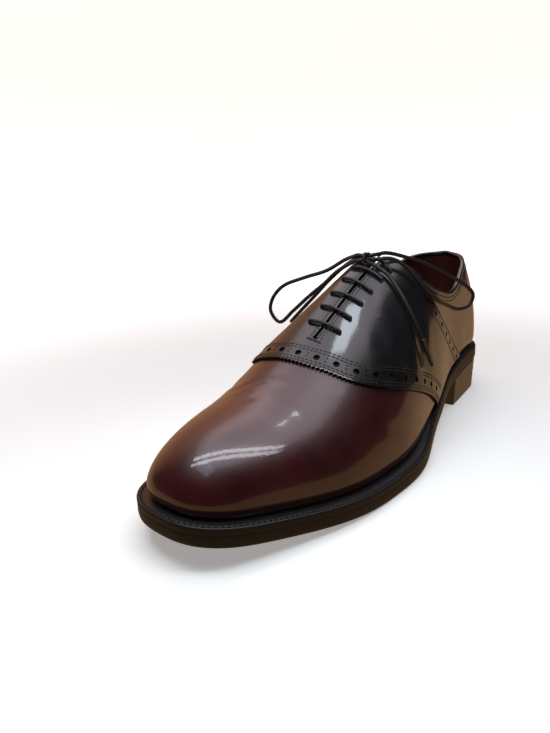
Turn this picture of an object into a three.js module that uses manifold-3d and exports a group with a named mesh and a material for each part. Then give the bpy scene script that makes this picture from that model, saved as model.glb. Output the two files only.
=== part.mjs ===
import * as THREE from 'three';
import { mergeVertices } from 'three/addons/utils/BufferGeometryUtils.js';
import Module from 'manifold-3d';

// Saddle oxford, left shoe, standing empty on its heel and forepart.
// Millimetres, +Z up, toe towards -Y, outer side of the foot towards +X.

// Driving dimensions of the last and the bottom
const LAST_LENGTH = 294;
const BALL_WIDTH = 98.6;
const INSTEP_RISE = 92;
const HEEL_HEIGHT = 22;
const HEEL_LENGTH = 73.5;
const TOE_SPRING = 10.5;
const SOLE_THICKNESS = 5.7;
const WELT_THICKNESS = 3.3;
const WELT_INNER = 9;
const INSOLE_THICKNESS = 3.5;
const QUARTER_HEIGHT = 64;

// How far the welt and sole stand out past the upper
const REACH_HEEL = 1.8;
const REACH_INNER_SIDE = 4.2;
const REACH_OUTER_SIDE = 5.4;
const HEEL_TAPER = 1.2;
const EDGE_ROUND = 0.9;

// Leather, and the clearance that curved pieces keep
const GAP = 0.3;
const WALL = 2;
const SADDLE_THICKNESS = 1.2;
const TAB_THICKNESS = 1.3;
const TAB_WIDTH = 22;
const TAB_HEIGHT = 15;
const TONGUE_THICKNESS = 1.8;
const TONGUE_HALF_WIDTH = 25;
const TUCK = 2.2;
const TUCK_HEIGHT = 7;

// Throat, eyelets and lace. The throat ends a margin behind the saddle's front edge, and
// the first eyelets lie a margin behind the throat's foot.
const THROAT_SLIT = 3;
const THROAT_MARGIN = 14.5;
const THROAT_LENGTH = 60.5;
const THROAT_TOP_SIDE = 7;
const THROAT_FOOT_SIDE = 3;
const EYELET_ROWS = 6;
const EYELET_MARGIN = 9;
const EYELET_STEP = 9.7;
const EYELET_SPREAD = 8.8;
const LACE_DIAMETER = 2.2;
const LACE_SIDES = 8;
const HOLE_CLEARANCE = 0.8;
const AGLET_LENGTH = 17;
const AGLET_DIAMETER = 2.6;
const KNOT_SIZE = [10.4, 6.6, 6.2];

// How finely the curved forms are divided
const LAST_STATIONS = 32;
const SECTION_POINTS = 21;
const OUTLINE_POINTS = 66;
const PATCH_STEPS = 11;

// The last at shares of its length, heel 0 to toe 1. Sideways columns are shares of
// BALL_WIDTH, rise is a share of INSTEP_RISE, full is how square the section is.
const LAST = [
  { at: 0.00, centre: -0.061, half: 0.330, rise: 0.924, ridge: -0.061, full: 1.90 },
  { at: 0.10, centre: -0.051, half: 0.335, rise: 0.924, ridge: -0.051, full: 1.90 },
  { at: 0.20, centre: -0.026, half: 0.333, rise: 0.957, ridge: -0.025, full: 1.95 },
  { at: 0.30, centre: 0.020, half: 0.314, rise: 1.011, ridge: 0.000, full: 2.05 },
  { at: 0.40, centre: 0.071, half: 0.327, rise: 1.000, ridge: -0.005, full: 2.05 },
  { at: 0.50, centre: 0.079, half: 0.375, rise: 0.935, ridge: -0.020, full: 1.95 },
  { at: 0.60, centre: 0.030, half: 0.467, rise: 0.788, ridge: -0.051, full: 1.95 },
  { at: 0.68, centre: -0.012, half: 0.500, rise: 0.636, ridge: -0.066, full: 1.95 },
  { at: 0.76, centre: -0.023, half: 0.477, rise: 0.489, ridge: -0.071, full: 2.00 },
  { at: 0.84, centre: -0.041, half: 0.432, rise: 0.397, ridge: -0.056, full: 2.10 },
  { at: 0.92, centre: -0.049, half: 0.389, rise: 0.364, ridge: -0.046, full: 2.15 },
  { at: 1.00, centre: -0.049, half: 0.385, rise: 0.342, ridge: -0.051, full: 2.20 },
];
const HEEL_ROUND = 0.115;
const TOE_ROUND = { share: 0.27, power: 2.6 };
const TOE_DROP = { share: 0.17, power: 1.95 };

// How far the back of the heel stands out, by height over the feather line.
// Both columns are shares of QUARTER_HEIGHT.
const HEEL_CURVE = [
  { at: 0.00, out: 0.000 },
  { at: 0.19, out: 0.041 },
  { at: 0.39, out: 0.059 },
  { at: 0.62, out: 0.037 },
  { at: 0.81, out: -0.009 },
  { at: 1.00, out: -0.055 },
  { at: 1.50, out: -0.140 },
];
const HEEL_CURVE_REACH = 0.22;

// Top line over the heel's feather line, as shares of QUARTER_HEIGHT, at shares of LAST_LENGTH
const TOP_LINE = [
  { at: 0.00, outer: 1.000, inner: 1.010 },
  { at: 0.06, outer: 0.965, inner: 0.990 },
  { at: 0.12, outer: 0.880, inner: 0.950 },
  { at: 0.18, outer: 0.775, inner: 0.905 },
  { at: 0.26, outer: 0.715, inner: 0.870 },
  { at: 0.32, outer: 0.775, inner: 0.890 },
  { at: 0.37, outer: 0.865, inner: 0.950 },
  { at: 0.41, outer: 1.010, inner: 1.050 },
  { at: 0.44, outer: 1.110, inner: 1.120 },
  { at: 0.47, outer: 1.170, inner: 1.170 },
];
const TOP_LINE_BLEND = 24;

// Edges of the saddle at shares of LAST_LENGTH, by the angle round the section:
// 0 at the outer feather line, 90 at the ridge, mirrored on the inner side.
const SADDLE_EDGES = [
  { at: 0, back: 0.215, front: 0.425 },
  { at: 10, back: 0.268, front: 0.478 },
  { at: 20, back: 0.323, front: 0.542 },
  { at: 30, back: 0.366, front: 0.605 },
  { at: 40, back: 0.395, front: 0.655 },
  { at: 52, back: 0.405, front: 0.689 },
  { at: 64, back: 0.405, front: 0.704 },
  { at: 78, back: 0.405, front: 0.714 },
  { at: 90, back: 0.405, front: 0.716 },
];

// The sole rises from the tread back to the heel, and springs from the ball to the toe
const ARCH = { from: 0.64, length: 0.50 };
const SPRING = { from: 0.70, power: 1.6 };
const WAIST = { back: 0.42, front: 0.60 };
const HEEL_HOLLOW = { height: 0.40, taper: 0.60 };

// The tongue's ends, and the stretch where it comes up from below the lace to its seat
const TONGUE = { top: 0.44, bottom: 0.705, seatFrom: 0.655, seatTo: 0.685 };

// How far along a half bar from the eyelet to the throat the lace is flat, and where it stops
const BAR = { rise: 0.22, flat: 0.60, knotStop: 0.50 };

// The knot and the free lace, as places on its route measured from the middle of the last
const KNOT = [3.5, 3.6, 106.6];
const OUTER_LOOP = [
  [9.4, 5.2, 108.4],
  [11.5, 12, 108.6],
  [18.7, 25, 104.6],
  [26.5, 39, 98.6],
  [33, 53, 91],
  [38.4, 64, 84.6],
  [41.6, 70.5, 77.6],
  [40.4, 69, 71.4],
  [36.6, 60.5, 69.8],
  [34.6, 47, 74.4],
  [34.2, 31, 80.4],
  [31, 22.6, 87.4],
  [27.2, 19.6, 93.6],
  [21.4, 16.4, 100.9],
  [15.2, 10.6, 105.6],
  [9.9, 3, 105.8],
];
const INNER_LOOP = [
  [-2.6, 4.2, 108],
  [-9, 1.8, 105.6],
  [-19.4, -2.3, 99.4],
  [-32.5, -8, 95.2],
  [-44.4, -13.2, 90.3],
  [-50.6, -16.2, 82.4],
  [-51.6, -16.9, 75],
  [-46.4, -15, 68.4],
  [-38.5, -11.4, 75.4],
  [-29.4, -7.4, 84.2],
  [-20, -4.4, 92],
  [-12.5, -2.2, 99],
  [-3.2, 1.2, 104.8],
];
const OUTER_END = [
  [8.8, 1.2, 103.4],
  [12.6, 2.2, 101.2],
  [17.9, 2.8, 97.2],
  [24.9, 1.7, 89.3],
  [31.3, 0.7, 80.2],
  [36, 0.7, 71.3],
  [39.1, 1.5, 64.4],
];
const OUTER_TIP = [44, 4.6, 49];
const INNER_END = [
  [-2.9, 5.6, 106],
  [-8.8, 4.6, 103.2],
  [-20, 1.6, 93.6],
  [-30, 0, 83.4],
  [-34.8, -1.6, 78.4],
];
const INNER_TIP = [-46, -4.8, 66.6];

const THROAT_FOOT = SADDLE_EDGES[SADDLE_EDGES.length - 1].front * LAST_LENGTH - THROAT_MARGIN;
const THROAT_TOP = THROAT_FOOT - THROAT_LENGTH;
const LACE_RADIUS = LACE_DIAMETER / 2;
const SADDLE_OUT = GAP + SADDLE_THICKNESS;
const LACE_OVER = SADDLE_OUT + GAP + LACE_RADIUS;
const LACE_UNDER = WALL + 3 * GAP + LACE_RADIUS;
const TONGUE_UNDER = WALL + 5 * GAP + LACE_DIAMETER;

const leather = (color, roughness) => new THREE.MeshStandardMaterial({ color, roughness, metalness: 0 });
const OXBLOOD = leather(0x4a1216, 0.25);
const BLACK = leather(0x121214, 0.25);
const EDGE_BLACK = leather(0x17140f, 0.45);
const LINING_RED = leather(0x4b1519, 0.6);
const SOLE_TAN = leather(0x2a1c14, 0.5);
const LACE_BLACK = leather(0x0d0d0e, 0.7);

// A smooth curve through the rows of a table
function readTable(rows, column, at) {
  const last = rows.length - 1;
  const x = THREE.MathUtils.clamp(at, rows[0].at, rows[last].at);
  let i = 0;
  while (i < last - 1 && x >= rows[i + 1].at) i += 1;
  const slope = (k) => {
    const a = rows[Math.max(k - 1, 0)];
    const b = rows[Math.min(k + 1, last)];
    return (b[column] - a[column]) / (b.at - a.at);
  };
  const span = rows[i + 1].at - rows[i].at;
  const t = (x - rows[i].at) / span;
  const t2 = t * t;
  const t3 = t2 * t;
  return (2 * t3 - 3 * t2 + 1) * rows[i][column] + (t3 - 2 * t2 + t) * span * slope(i)
    + (3 * t2 - 2 * t3) * rows[i + 1][column] + (t3 - t2) * span * slope(i + 1);
}

// Height of the sole's underside: raised over the heel, flat at the tread, sprung at the toe
function soleHeight(share) {
  const heel = THREE.MathUtils.smoothstep(ARCH.from - share, 0, ARCH.length);
  const toe = Math.max((share - SPRING.from) / (1 - SPRING.from), 0);
  return HEEL_HEIGHT * heel + TOE_SPRING * toe ** SPRING.power;
}
const weltTop = (share) => soleHeight(share) + SOLE_THICKNESS + GAP + WELT_THICKNESS;
const featherHeight = (share) => weltTop(share) + GAP;

const shareOf = (y) => 0.5 - y / LAST_LENGTH;

// How much of the width is left towards the round heel and toe
function endRound(share) {
  const heel = share < HEEL_ROUND ? Math.sqrt(1 - (1 - share / HEEL_ROUND) ** 2) : 1;
  const toe = THREE.MathUtils.clamp((share - 1 + TOE_ROUND.share) / TOE_ROUND.share, 0, 1);
  return heel * (1 - toe ** TOE_ROUND.power) ** (1 / TOE_ROUND.power);
}

// The section of the last at a share of its length, grown outwards by grow
function section(share, grow) {
  const round = endRound(share);
  const swell = grow * Math.min(1, 3 * round);
  const drop = THREE.MathUtils.clamp((share - 1 + TOE_DROP.share) / TOE_DROP.share, 0, 1);
  const centre = readTable(LAST, 'centre', share) * BALL_WIDTH;
  const ridge = readTable(LAST, 'ridge', share) * BALL_WIDTH;
  const half = readTable(LAST, 'half', share) * BALL_WIDTH * round + swell;
  const rise = readTable(LAST, 'rise', share) * INSTEP_RISE;
  return {
    outer: centre + half,
    inner: centre - half,
    ridge: centre + (ridge - centre) * round,
    rise: rise * (1 - drop ** TOE_DROP.power) ** (1 / TOE_DROP.power) + swell,
    full: readTable(LAST, 'full', share),
  };
}

// Direction out of the feather line, seen from above
function outlineNormal(share, side) {
  const turn = Math.acos(1 - 2 * share) * side;
  const place = (b) => {
    const s = (1 - Math.cos(b)) / 2;
    const cut = section(s, 0);
    return [sidePoint(cut, Math.sin(b)), (0.5 - s) * LAST_LENGTH];
  };
  const a = place(turn - 0.02);
  const b = place(turn + 0.02);
  const length = Math.hypot(b[0] - a[0], b[1] - a[1]);
  return [-(b[1] - a[1]) / length, (b[0] - a[0]) / length];
}
const sidePoint = (cut, side) => (side > 0 ? cut.outer : cut.inner);

// A point on the upper's form: share along the last, angle round the section in
// degrees, grow outwards. The foot of the form tucks in over the welt.
function formPoint(share, angle, grow) {
  const cut = section(share, grow);
  const turn = THREE.MathUtils.degToRad(angle);
  const side = angle <= 90 ? 1 : -1;
  const across = Math.abs(Math.cos(turn)) ** (2 / cut.full);
  const up = cut.rise * Math.max(Math.sin(turn), 0) ** (2 / cut.full);
  const x = cut.ridge + (sidePoint(cut, side) - cut.ridge) * across;
  const y = (0.5 - share) * (LAST_LENGTH + 2 * grow);
  const fade = Math.max(1 - share / HEEL_CURVE_REACH, 0) ** 2;
  const back = readTable(HEEL_CURVE, 'out', up / QUARTER_HEIGHT) * QUARTER_HEIGHT * fade;
  const fold = 1 - endRound(share) * (1 - across);
  const tuck = TUCK * Math.max(1 - up / TUCK_HEIGHT, 0) ** 2 * fold;
  const normal = outlineNormal(share, side);
  const foot = featherHeight(shareOf(y - normal[1] * tuck));
  return new THREE.Vector3(x - normal[0] * tuck, y + back - normal[1] * tuck, foot + up);
}

// The angle at which a form passes over a sideways place
function angleAt(share, x, grow) {
  const cut = section(share, grow);
  const side = x >= cut.ridge ? 1 : -1;
  const across = THREE.MathUtils.clamp((x - cut.ridge) / (sidePoint(cut, side) - cut.ridge), 0, 1);
  const angle = THREE.MathUtils.radToDeg(Math.acos(across ** (cut.full / 2)));
  return side > 0 ? angle : 180 - angle;
}

// A closed mesh from a list of points and faces of three or four point numbers
function closedMesh(points, faces) {
  const positions = [];
  for (const face of faces) {
    for (let i = 1; i < face.length - 1; i += 1) {
      for (const corner of [face[0], face[i], face[i + 1]]) positions.push(...points[corner].toArray());
    }
  }
  const geometry = new THREE.BufferGeometry();
  geometry.setAttribute('position', new THREE.Float32BufferAttribute(positions, 3));
  return welded(geometry);
}

// Shared vertices merged, and faces that have no area left out
function welded(source) {
  const bare = source.index ? source.toNonIndexed() : source.clone();
  bare.deleteAttribute('normal');
  bare.deleteAttribute('uv');
  const merged = mergeVertices(bare, 1e-4);
  const index = merged.getIndex().array;
  const kept = [];
  for (let i = 0; i < index.length; i += 3) {
    const [a, b, c] = [index[i], index[i + 1], index[i + 2]];
    if (a !== b && b !== c && c !== a) kept.push(a, b, c);
  }
  merged.setIndex(kept);
  return merged;
}

// Rows of points joined into a closed skin: each row is a closed ring. The two halves of
// a ring split their quads along the same lines, so walls that lie close stay parallel.
function skin(rings, { closeEnds = false, joinEnds = false } = {}) {
  const size = rings[0].length;
  const points = rings.flat();
  const faces = [];
  const rows = joinEnds ? rings.length : rings.length - 1;
  for (let r = 0; r < rows; r += 1) {
    const next = (r + 1) % rings.length;
    for (let i = 0; i < size; i += 1) {
      const j = (i + 1) % size;
      const quad = [r * size + i, r * size + j, next * size + j, next * size + i];
      faces.push(i < size / 2 ? quad : [...quad.slice(1), quad[0]]);
    }
  }
  if (closeEnds) {
    const end = (rings.length - 1) * size;
    for (let i = 0; i < Math.floor(size / 2); i += 1) {
      const mirror = size - 1 - i;
      if (mirror - i > 1) {
        faces.push([mirror, mirror - 1, i + 1, i]);
        faces.push([end + i, end + i + 1, end + mirror - 1, end + mirror]);
      }
    }
  }
  return closedMesh(points, faces);
}

// Stations closer together towards the round heel and toe
const stationShare = (i, count) => (1 - Math.cos((Math.PI * i) / count)) / 2;

const wasm = await Module();
wasm.setup();

function toSolid(geometry) {
  const clean = welded(geometry);
  const mesh = new wasm.Mesh({
    numProp: 3,
    vertProperties: clean.getAttribute('position').array,
    triVerts: new Uint32Array(clean.getIndex().array),
  });
  return new wasm.Manifold(mesh);
}

function toGeometry(solid) {
  const mesh = solid.getMesh();
  const geometry = new THREE.BufferGeometry();
  const count = mesh.vertProperties.length / mesh.numProp;
  const positions = new Float32Array(count * 3);
  for (let i = 0; i < count; i += 1) {
    for (let k = 0; k < 3; k += 1) positions[3 * i + k] = mesh.vertProperties[mesh.numProp * i + k];
  }
  geometry.setAttribute('position', new THREE.BufferAttribute(positions, 3));
  geometry.setIndex(new THREE.BufferAttribute(new Uint32Array(mesh.triVerts), 1));
  return geometry;
}

const shoe = new THREE.Group();
function addPiece(name, geometry, material) {
  const shown = geometry.index ? geometry.toNonIndexed() : geometry;
  shown.computeVertexNormals();
  const mesh = new THREE.Mesh(shown, material);
  mesh.name = name;
  shoe.add(mesh);
}

// Sideways place of the throat line, which runs straight along the instep
function throatSide(share) {
  const t = (share * LAST_LENGTH - THROAT_TOP) / THROAT_LENGTH;
  return THREE.MathUtils.lerp(THROAT_TOP_SIDE, THROAT_FOOT_SIDE, t);
}

// Everything over the top line, as one block that cuts the foot opening
function topLineCutter() {
  const rear = -0.12;
  const fore = 0.47;
  const steps = 34;
  const blends = [-1, -0.5, 0, 0.5, 1].map((part) => part * TOP_LINE_BLEND);
  const sides = [-BALL_WIDTH, ...blends, BALL_WIDTH];
  const high = 3 * QUARTER_HEIGHT;
  const base = featherHeight(0);
  const rings = [];
  for (let i = 0; i <= steps; i += 1) {
    const share = THREE.MathUtils.lerp(rear, fore, i / steps);
    const outer = readTable(TOP_LINE, 'outer', share) * QUARTER_HEIGHT;
    const inner = readTable(TOP_LINE, 'inner', share) * QUARTER_HEIGHT;
    const y = (0.5 - share) * LAST_LENGTH;
    const lower = sides.map((side) => {
      const blend = THREE.MathUtils.smoothstep(side, -TOP_LINE_BLEND, TOP_LINE_BLEND);
      return new THREE.Vector3(side, y, base + THREE.MathUtils.lerp(inner, outer, blend));
    });
    const upper = sides.map((side) => new THREE.Vector3(side, y, base + high));
    rings.push([...upper.reverse(), ...lower]);
  }
  return toSolid(skin(rings, { closeEnds: true }));
}

// The slit between the two facings, round at its lower end and open to the collar
function throatCutter() {
  const half = THROAT_SLIT / 2;
  const shape = new THREE.Shape();
  const open = THROAT_TOP - THROAT_LENGTH / 2;
  const top = new THREE.Vector2(throatSide(open / LAST_LENGTH), LAST_LENGTH / 2 - open);
  const foot = new THREE.Vector2(THROAT_FOOT_SIDE, LAST_LENGTH / 2 - THROAT_FOOT);
  shape.moveTo(top.x + half, top.y);
  shape.lineTo(top.x - half, top.y);
  shape.lineTo(foot.x - half, foot.y);
  shape.absarc(foot.x, foot.y, half, Math.PI, 2 * Math.PI, false);
  shape.lineTo(top.x + half, top.y);
  const block = new THREE.ExtrudeGeometry(shape, {
    depth: INSTEP_RISE,
    bevelEnabled: false,
    curveSegments: 6,
  });
  block.translate(0, 0, featherHeight(1) + TUCK_HEIGHT);
  return toSolid(block);
}

// A tube of the lace's section through a list of points
function laceTube(points, steps) {
  const path = new THREE.CatmullRomCurve3(points, false, 'centripetal');
  const shape = new THREE.Shape();
  for (let i = 0; i < LACE_SIDES; i += 1) {
    const turn = (2 * Math.PI * (i + 0.5)) / LACE_SIDES;
    const corner = [LACE_RADIUS * Math.cos(turn), LACE_RADIUS * Math.sin(turn)];
    if (i === 0) shape.moveTo(...corner);
    else shape.lineTo(...corner);
  }
  shape.closePath();
  return new THREE.ExtrudeGeometry(shape, { steps, bevelEnabled: false, extrudePath: path });
}

// Eyelet places: for each row the share along the last and the angle on each side
const eyeletRows = Array.from({ length: EYELET_ROWS }, (_, row) => {
  const share = (THROAT_FOOT - EYELET_MARGIN - row * EYELET_STEP) / LAST_LENGTH;
  const middle = throatSide(share);
  return {
    share,
    middle: angleAt(share, middle, 0),
    outer: angleAt(share, middle + EYELET_SPREAD, 0),
    inner: angleAt(share, middle - EYELET_SPREAD, 0),
  };
});

// The turn that lays an upright cylinder along a direction
function turnTo(along) {
  return new THREE.Quaternion().setFromUnitVectors(new THREE.Vector3(0, 1, 0), along.clone().normalize());
}

// A round hole straight through the facing at one eyelet
function eyeletCutter(share, angle) {
  const foot = formPoint(share, angle, -LACE_UNDER);
  const head = formPoint(share, angle, LACE_OVER);
  const along = head.clone().sub(foot);
  const radius = LACE_RADIUS + HOLE_CLEARANCE;
  const bore = new THREE.CylinderGeometry(radius, radius, along.length(), LACE_SIDES);
  bore.applyQuaternion(turnTo(along));
  bore.translate(...foot.add(head).multiplyScalar(0.5).toArray());
  return toSolid(bore);
}

const allAngles = Array.from({ length: SECTION_POINTS }, (_, i) => (180 * i) / (SECTION_POINTS - 1));

// A shell of the whole form between two growths, open underneath
function formShell(low, high) {
  const rings = [];
  for (let i = 0; i <= LAST_STATIONS; i += 1) {
    const share = stationShare(i, LAST_STATIONS);
    const over = allAngles.map((angle) => formPoint(share, angle, high));
    const under = allAngles.map((angle) => formPoint(share, angle, low));
    rings.push([...over, ...under.reverse()]);
  }
  return toSolid(skin(rings));
}

// The block that the saddle is cut out with, between its back and front edges
const mirrored = (angle) => (angle <= 90 ? angle : 180 - angle);
function saddleBlock() {
  const skirt = new THREE.Vector3(0, 0, -SOLE_THICKNESS);
  const depth = SADDLE_OUT + WALL;
  const rings = [];
  for (let i = 0; i <= PATCH_STEPS; i += 1) {
    const layer = (grow) => allAngles.map((angle) => {
      const back = readTable(SADDLE_EDGES, 'back', mirrored(angle));
      const front = readTable(SADDLE_EDGES, 'front', mirrored(angle));
      return formPoint(THREE.MathUtils.lerp(back, front, i / PATCH_STEPS), angle, grow);
    });
    const skirted = (row) => [row[0].clone().add(skirt), ...row, row[row.length - 1].clone().add(skirt)];
    rings.push([...skirted(layer(depth)), ...skirted(layer(-depth)).reverse()]);
  }
  return toSolid(skin(rings, { closeEnds: true }));
}

// The back tab: a short strip over the top line at the heel
function tabBlock() {
  const top = featherHeight(0) + QUARTER_HEIGHT;
  const height = TAB_HEIGHT + QUARTER_HEIGHT;
  const block = new THREE.BoxGeometry(TAB_WIDTH, LAST_LENGTH / 4, height);
  block.translate(readTable(LAST, 'centre', 0) * BALL_WIDTH, LAST_LENGTH / 2, top - TAB_HEIGHT + height / 2);
  return toSolid(block);
}

// The tongue: a sheet under the throat, across the same form
function tongue() {
  const depth = (share) => {
    const t = THREE.MathUtils.smoothstep(share, TONGUE.seatFrom, TONGUE.seatTo);
    return THREE.MathUtils.lerp(TONGUE_UNDER, WALL + 2 * GAP, t);
  };
  const middle = (TONGUE.top + TONGUE.bottom) / 2;
  const outer = angleAt(middle, throatSide(middle) + TONGUE_HALF_WIDTH, -TONGUE_UNDER);
  const inner = angleAt(middle, throatSide(middle) - TONGUE_HALF_WIDTH, -TONGUE_UNDER);
  const angles = [];
  for (let i = 0; i <= PATCH_STEPS; i += 1) angles.push(THREE.MathUtils.lerp(outer, inner, i / PATCH_STEPS));
  const rings = [];
  for (let i = 0; i <= PATCH_STEPS; i += 1) {
    const share = THREE.MathUtils.lerp(TONGUE.top, TONGUE.bottom, i / PATCH_STEPS);
    const over = angles.map((angle) => formPoint(share, angle, -depth(share)));
    const under = angles.map((angle) => formPoint(share, angle, -depth(share) - TONGUE_THICKNESS));
    rings.push([...over, ...under.reverse()]);
  }
  return skin(rings, { closeEnds: true });
}

// Lace over and under the facings: a bar for each row but the last, whose two halves
// stop short of the knot, and a run under each facing
function laceBars() {
  const parts = [];
  const under = (row, angle) => formPoint(row.share, angle, -LACE_UNDER);
  const rim = (row, angle) => formPoint(row.share, angle, SADDLE_OUT);
  const over = (row, angle, t) => formPoint(row.share, THREE.MathUtils.lerp(angle, row.middle, t),
    LACE_OVER + GAP * (1 + Math.min(2 * t, 1)));
  for (const row of eyeletRows.slice(0, -1)) {
    const half = (angle) => [
      under(row, angle),
      rim(row, angle),
      over(row, angle, BAR.rise),
      over(row, angle, BAR.flat),
    ];
    const points = [...half(row.outer), over(row, row.outer, 1), ...half(row.inner).reverse()];
    parts.push(laceTube(points, 10));
  }
  const last = eyeletRows[EYELET_ROWS - 1];
  for (const angle of [last.outer, last.inner]) {
    const stop = over(last, angle, BAR.knotStop);
    parts.push(laceTube([under(last, angle), rim(last, angle), over(last, angle, BAR.rise), stop], 5));
  }
  for (const side of ['outer', 'inner']) {
    const points = eyeletRows.map((row) => under(row, row[side]));
    const past = -LACE_RADIUS / (2 * EYELET_STEP);
    const first = points[0].clone().lerp(points[1], past);
    const end = points[EYELET_ROWS - 1].clone().lerp(points[EYELET_ROWS - 2], past);
    parts.push(laceTube([first, ...points, end], 8));
  }
  return parts.map(toSolid).reduce((whole, part) => whole.add(part));
}

function knot() {
  const ball = new THREE.SphereGeometry(0.5, 12, 7);
  ball.scale(...KNOT_SIZE);
  ball.translate(...KNOT);
  return welded(ball);
}

// A free stretch of lace through its route, with a step every three diameters
function freeLace(route) {
  const points = route.map((place) => new THREE.Vector3(...place));
  const length = new THREE.CatmullRomCurve3(points, false, 'centripetal').getLength();
  return laceTube(points, Math.round(length / (3 * LACE_DIAMETER)));
}

// The stiff tip of a lace, from just past its end towards its tip
function aglet(route, tip) {
  const end = new THREE.Vector3(...route[route.length - 1]);
  const along = new THREE.Vector3(...tip).sub(end).normalize();
  const tube = new THREE.CylinderGeometry(AGLET_DIAMETER / 2, AGLET_DIAMETER / 2, AGLET_LENGTH, 10);
  tube.applyQuaternion(turnTo(along));
  tube.translate(...end.addScaledVector(along, GAP + AGLET_LENGTH / 2).toArray());
  return welded(tube);
}

// The feather outline of a growth of the form, pushed out by reach(share, side). It is
// closed round heel and toe, or ends at a share of the length, as the heel does.
function outlineRing(reach, height, { grow = 0, count = OUTLINE_POINTS, endShare = 1 } = {}) {
  const end = Math.acos(1 - 2 * endShare);
  const whole = endShare === 1;
  const points = [];
  for (let i = 0; i < count; i += 1) {
    const turn = end - 2 * end * (whole ? (i + 0.5) / count : i / (count - 1));
    const share = (1 - Math.cos(turn)) / 2;
    const side = turn >= 0 ? 1 : -1;
    const normal = outlineNormal(share, side);
    const out = reach(share, side);
    const x = sidePoint(section(share, grow), side) + normal[0] * out;
    const y = (0.5 - share) * (LAST_LENGTH + 2 * grow) + normal[1] * out;
    points.push(new THREE.Vector3(x, y, height(shareOf(y))));
  }
  return points;
}

function weltReach(share, side) {
  const t = THREE.MathUtils.smoothstep(share, WAIST.back, WAIST.front);
  return THREE.MathUtils.lerp(REACH_HEEL, side > 0 ? REACH_OUTER_SIDE : REACH_INNER_SIDE, t);
}
const reachLess = (less) => (share, side) => weltReach(share, side) - less;

function outsole() {
  const at = (up) => (share) => soleHeight(share) + up;
  return skin([
    outlineRing(reachLess(EDGE_ROUND), at(0)),
    outlineRing(reachLess(0), at(EDGE_ROUND)),
    outlineRing(reachLess(0), at(SOLE_THICKNESS - EDGE_ROUND / 3)),
    outlineRing(reachLess(EDGE_ROUND / 3), at(SOLE_THICKNESS)),
  ], { closeEnds: true });
}

function welt() {
  const base = (share) => soleHeight(share) + SOLE_THICKNESS + GAP;
  return skin([
    outlineRing(() => -WELT_INNER, base),
    outlineRing(reachLess(EDGE_ROUND / 3), base),
    outlineRing(reachLess(0), (share) => base(share) + EDGE_ROUND / 3),
    outlineRing(reachLess(0), (share) => weltTop(share) - EDGE_ROUND / 2),
    outlineRing(reachLess(EDGE_ROUND / 2), weltTop),
    outlineRing(() => -WELT_INNER, weltTop),
  ], { joinEnds: true });
}

function insole() {
  const inset = () => -(TUCK + 2 * GAP);
  return skin([
    outlineRing(inset, featherHeight, { grow: -WALL }),
    outlineRing(inset, (share) => featherHeight(share) + INSOLE_THICKNESS, { grow: -WALL }),
  ], { closeEnds: true });
}

function heel() {
  const shape = { count: 41, endShare: HEEL_LENGTH / LAST_LENGTH };
  const hollow = (share) => soleHeight(share) * HEEL_HOLLOW.height;
  return skin([
    outlineRing(reachLess(HEEL_TAPER), () => 0, shape),
    outlineRing(reachLess(HEEL_TAPER * HEEL_HOLLOW.taper), hollow, shape),
    outlineRing(reachLess(EDGE_ROUND / 2), (share) => soleHeight(share) - GAP, shape),
  ], { closeEnds: true });
}

const topLine = topLineCutter();
const throat = throatCutter();
const eyelets = eyeletRows.flatMap((row) => [
  eyeletCutter(row.share, row.outer),
  eyeletCutter(row.share, row.inner),
]).reduce((whole, part) => whole.add(part));
const openings = (wall) => wall.subtract(topLine).subtract(throat).subtract(eyelets);

addPiece('upper', toGeometry(openings(formShell(-WALL, 0))), OXBLOOD);
addPiece('saddle', toGeometry(openings(formShell(GAP, SADDLE_OUT).intersect(saddleBlock()))), BLACK);
const tab = formShell(GAP, GAP + TAB_THICKNESS).intersect(tabBlock()).subtract(topLine);
addPiece('back_tab', toGeometry(tab), BLACK);
addPiece('tongue', tongue(), BLACK);
addPiece('insole', insole(), LINING_RED);
addPiece('welt', welt(), EDGE_BLACK);
addPiece('outsole', outsole(), SOLE_TAN);
addPiece('heel', heel(), EDGE_BLACK);
addPiece('lace_bars', toGeometry(laceBars()), LACE_BLACK);

// The origin is under the middle of the pieces that aren't free lace, on the floor
const body = new THREE.Box3().setFromObject(shoe);
const middle = body.getCenter(new THREE.Vector3());

addPiece('lace_knot', knot(), LACE_BLACK);
addPiece('lace_loop_outer', freeLace(OUTER_LOOP), LACE_BLACK);
addPiece('lace_loop_inner', freeLace(INNER_LOOP), LACE_BLACK);
addPiece('lace_end_outer', freeLace(OUTER_END), LACE_BLACK);
addPiece('lace_end_inner', freeLace(INNER_END), LACE_BLACK);
addPiece('aglet_outer', aglet(OUTER_END, OUTER_TIP), LACE_BLACK);
addPiece('aglet_inner', aglet(INNER_END, INNER_TIP), LACE_BLACK);
shoe.position.set(-middle.x, -middle.y, -body.min.z);

export default shoe;
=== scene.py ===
# %% [markdown]
# A saddle oxford for the left foot: a glossy oxblood shoe with a black saddle over the instep.
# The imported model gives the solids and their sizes. This file dresses them: each step first
# says what the piece is on the real shoe, and then makes it with Blender's own tools.

# %% Load the frame
import math

import bmesh
import bpy
import numpy as np
from mathutils import Matrix, Vector


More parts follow.
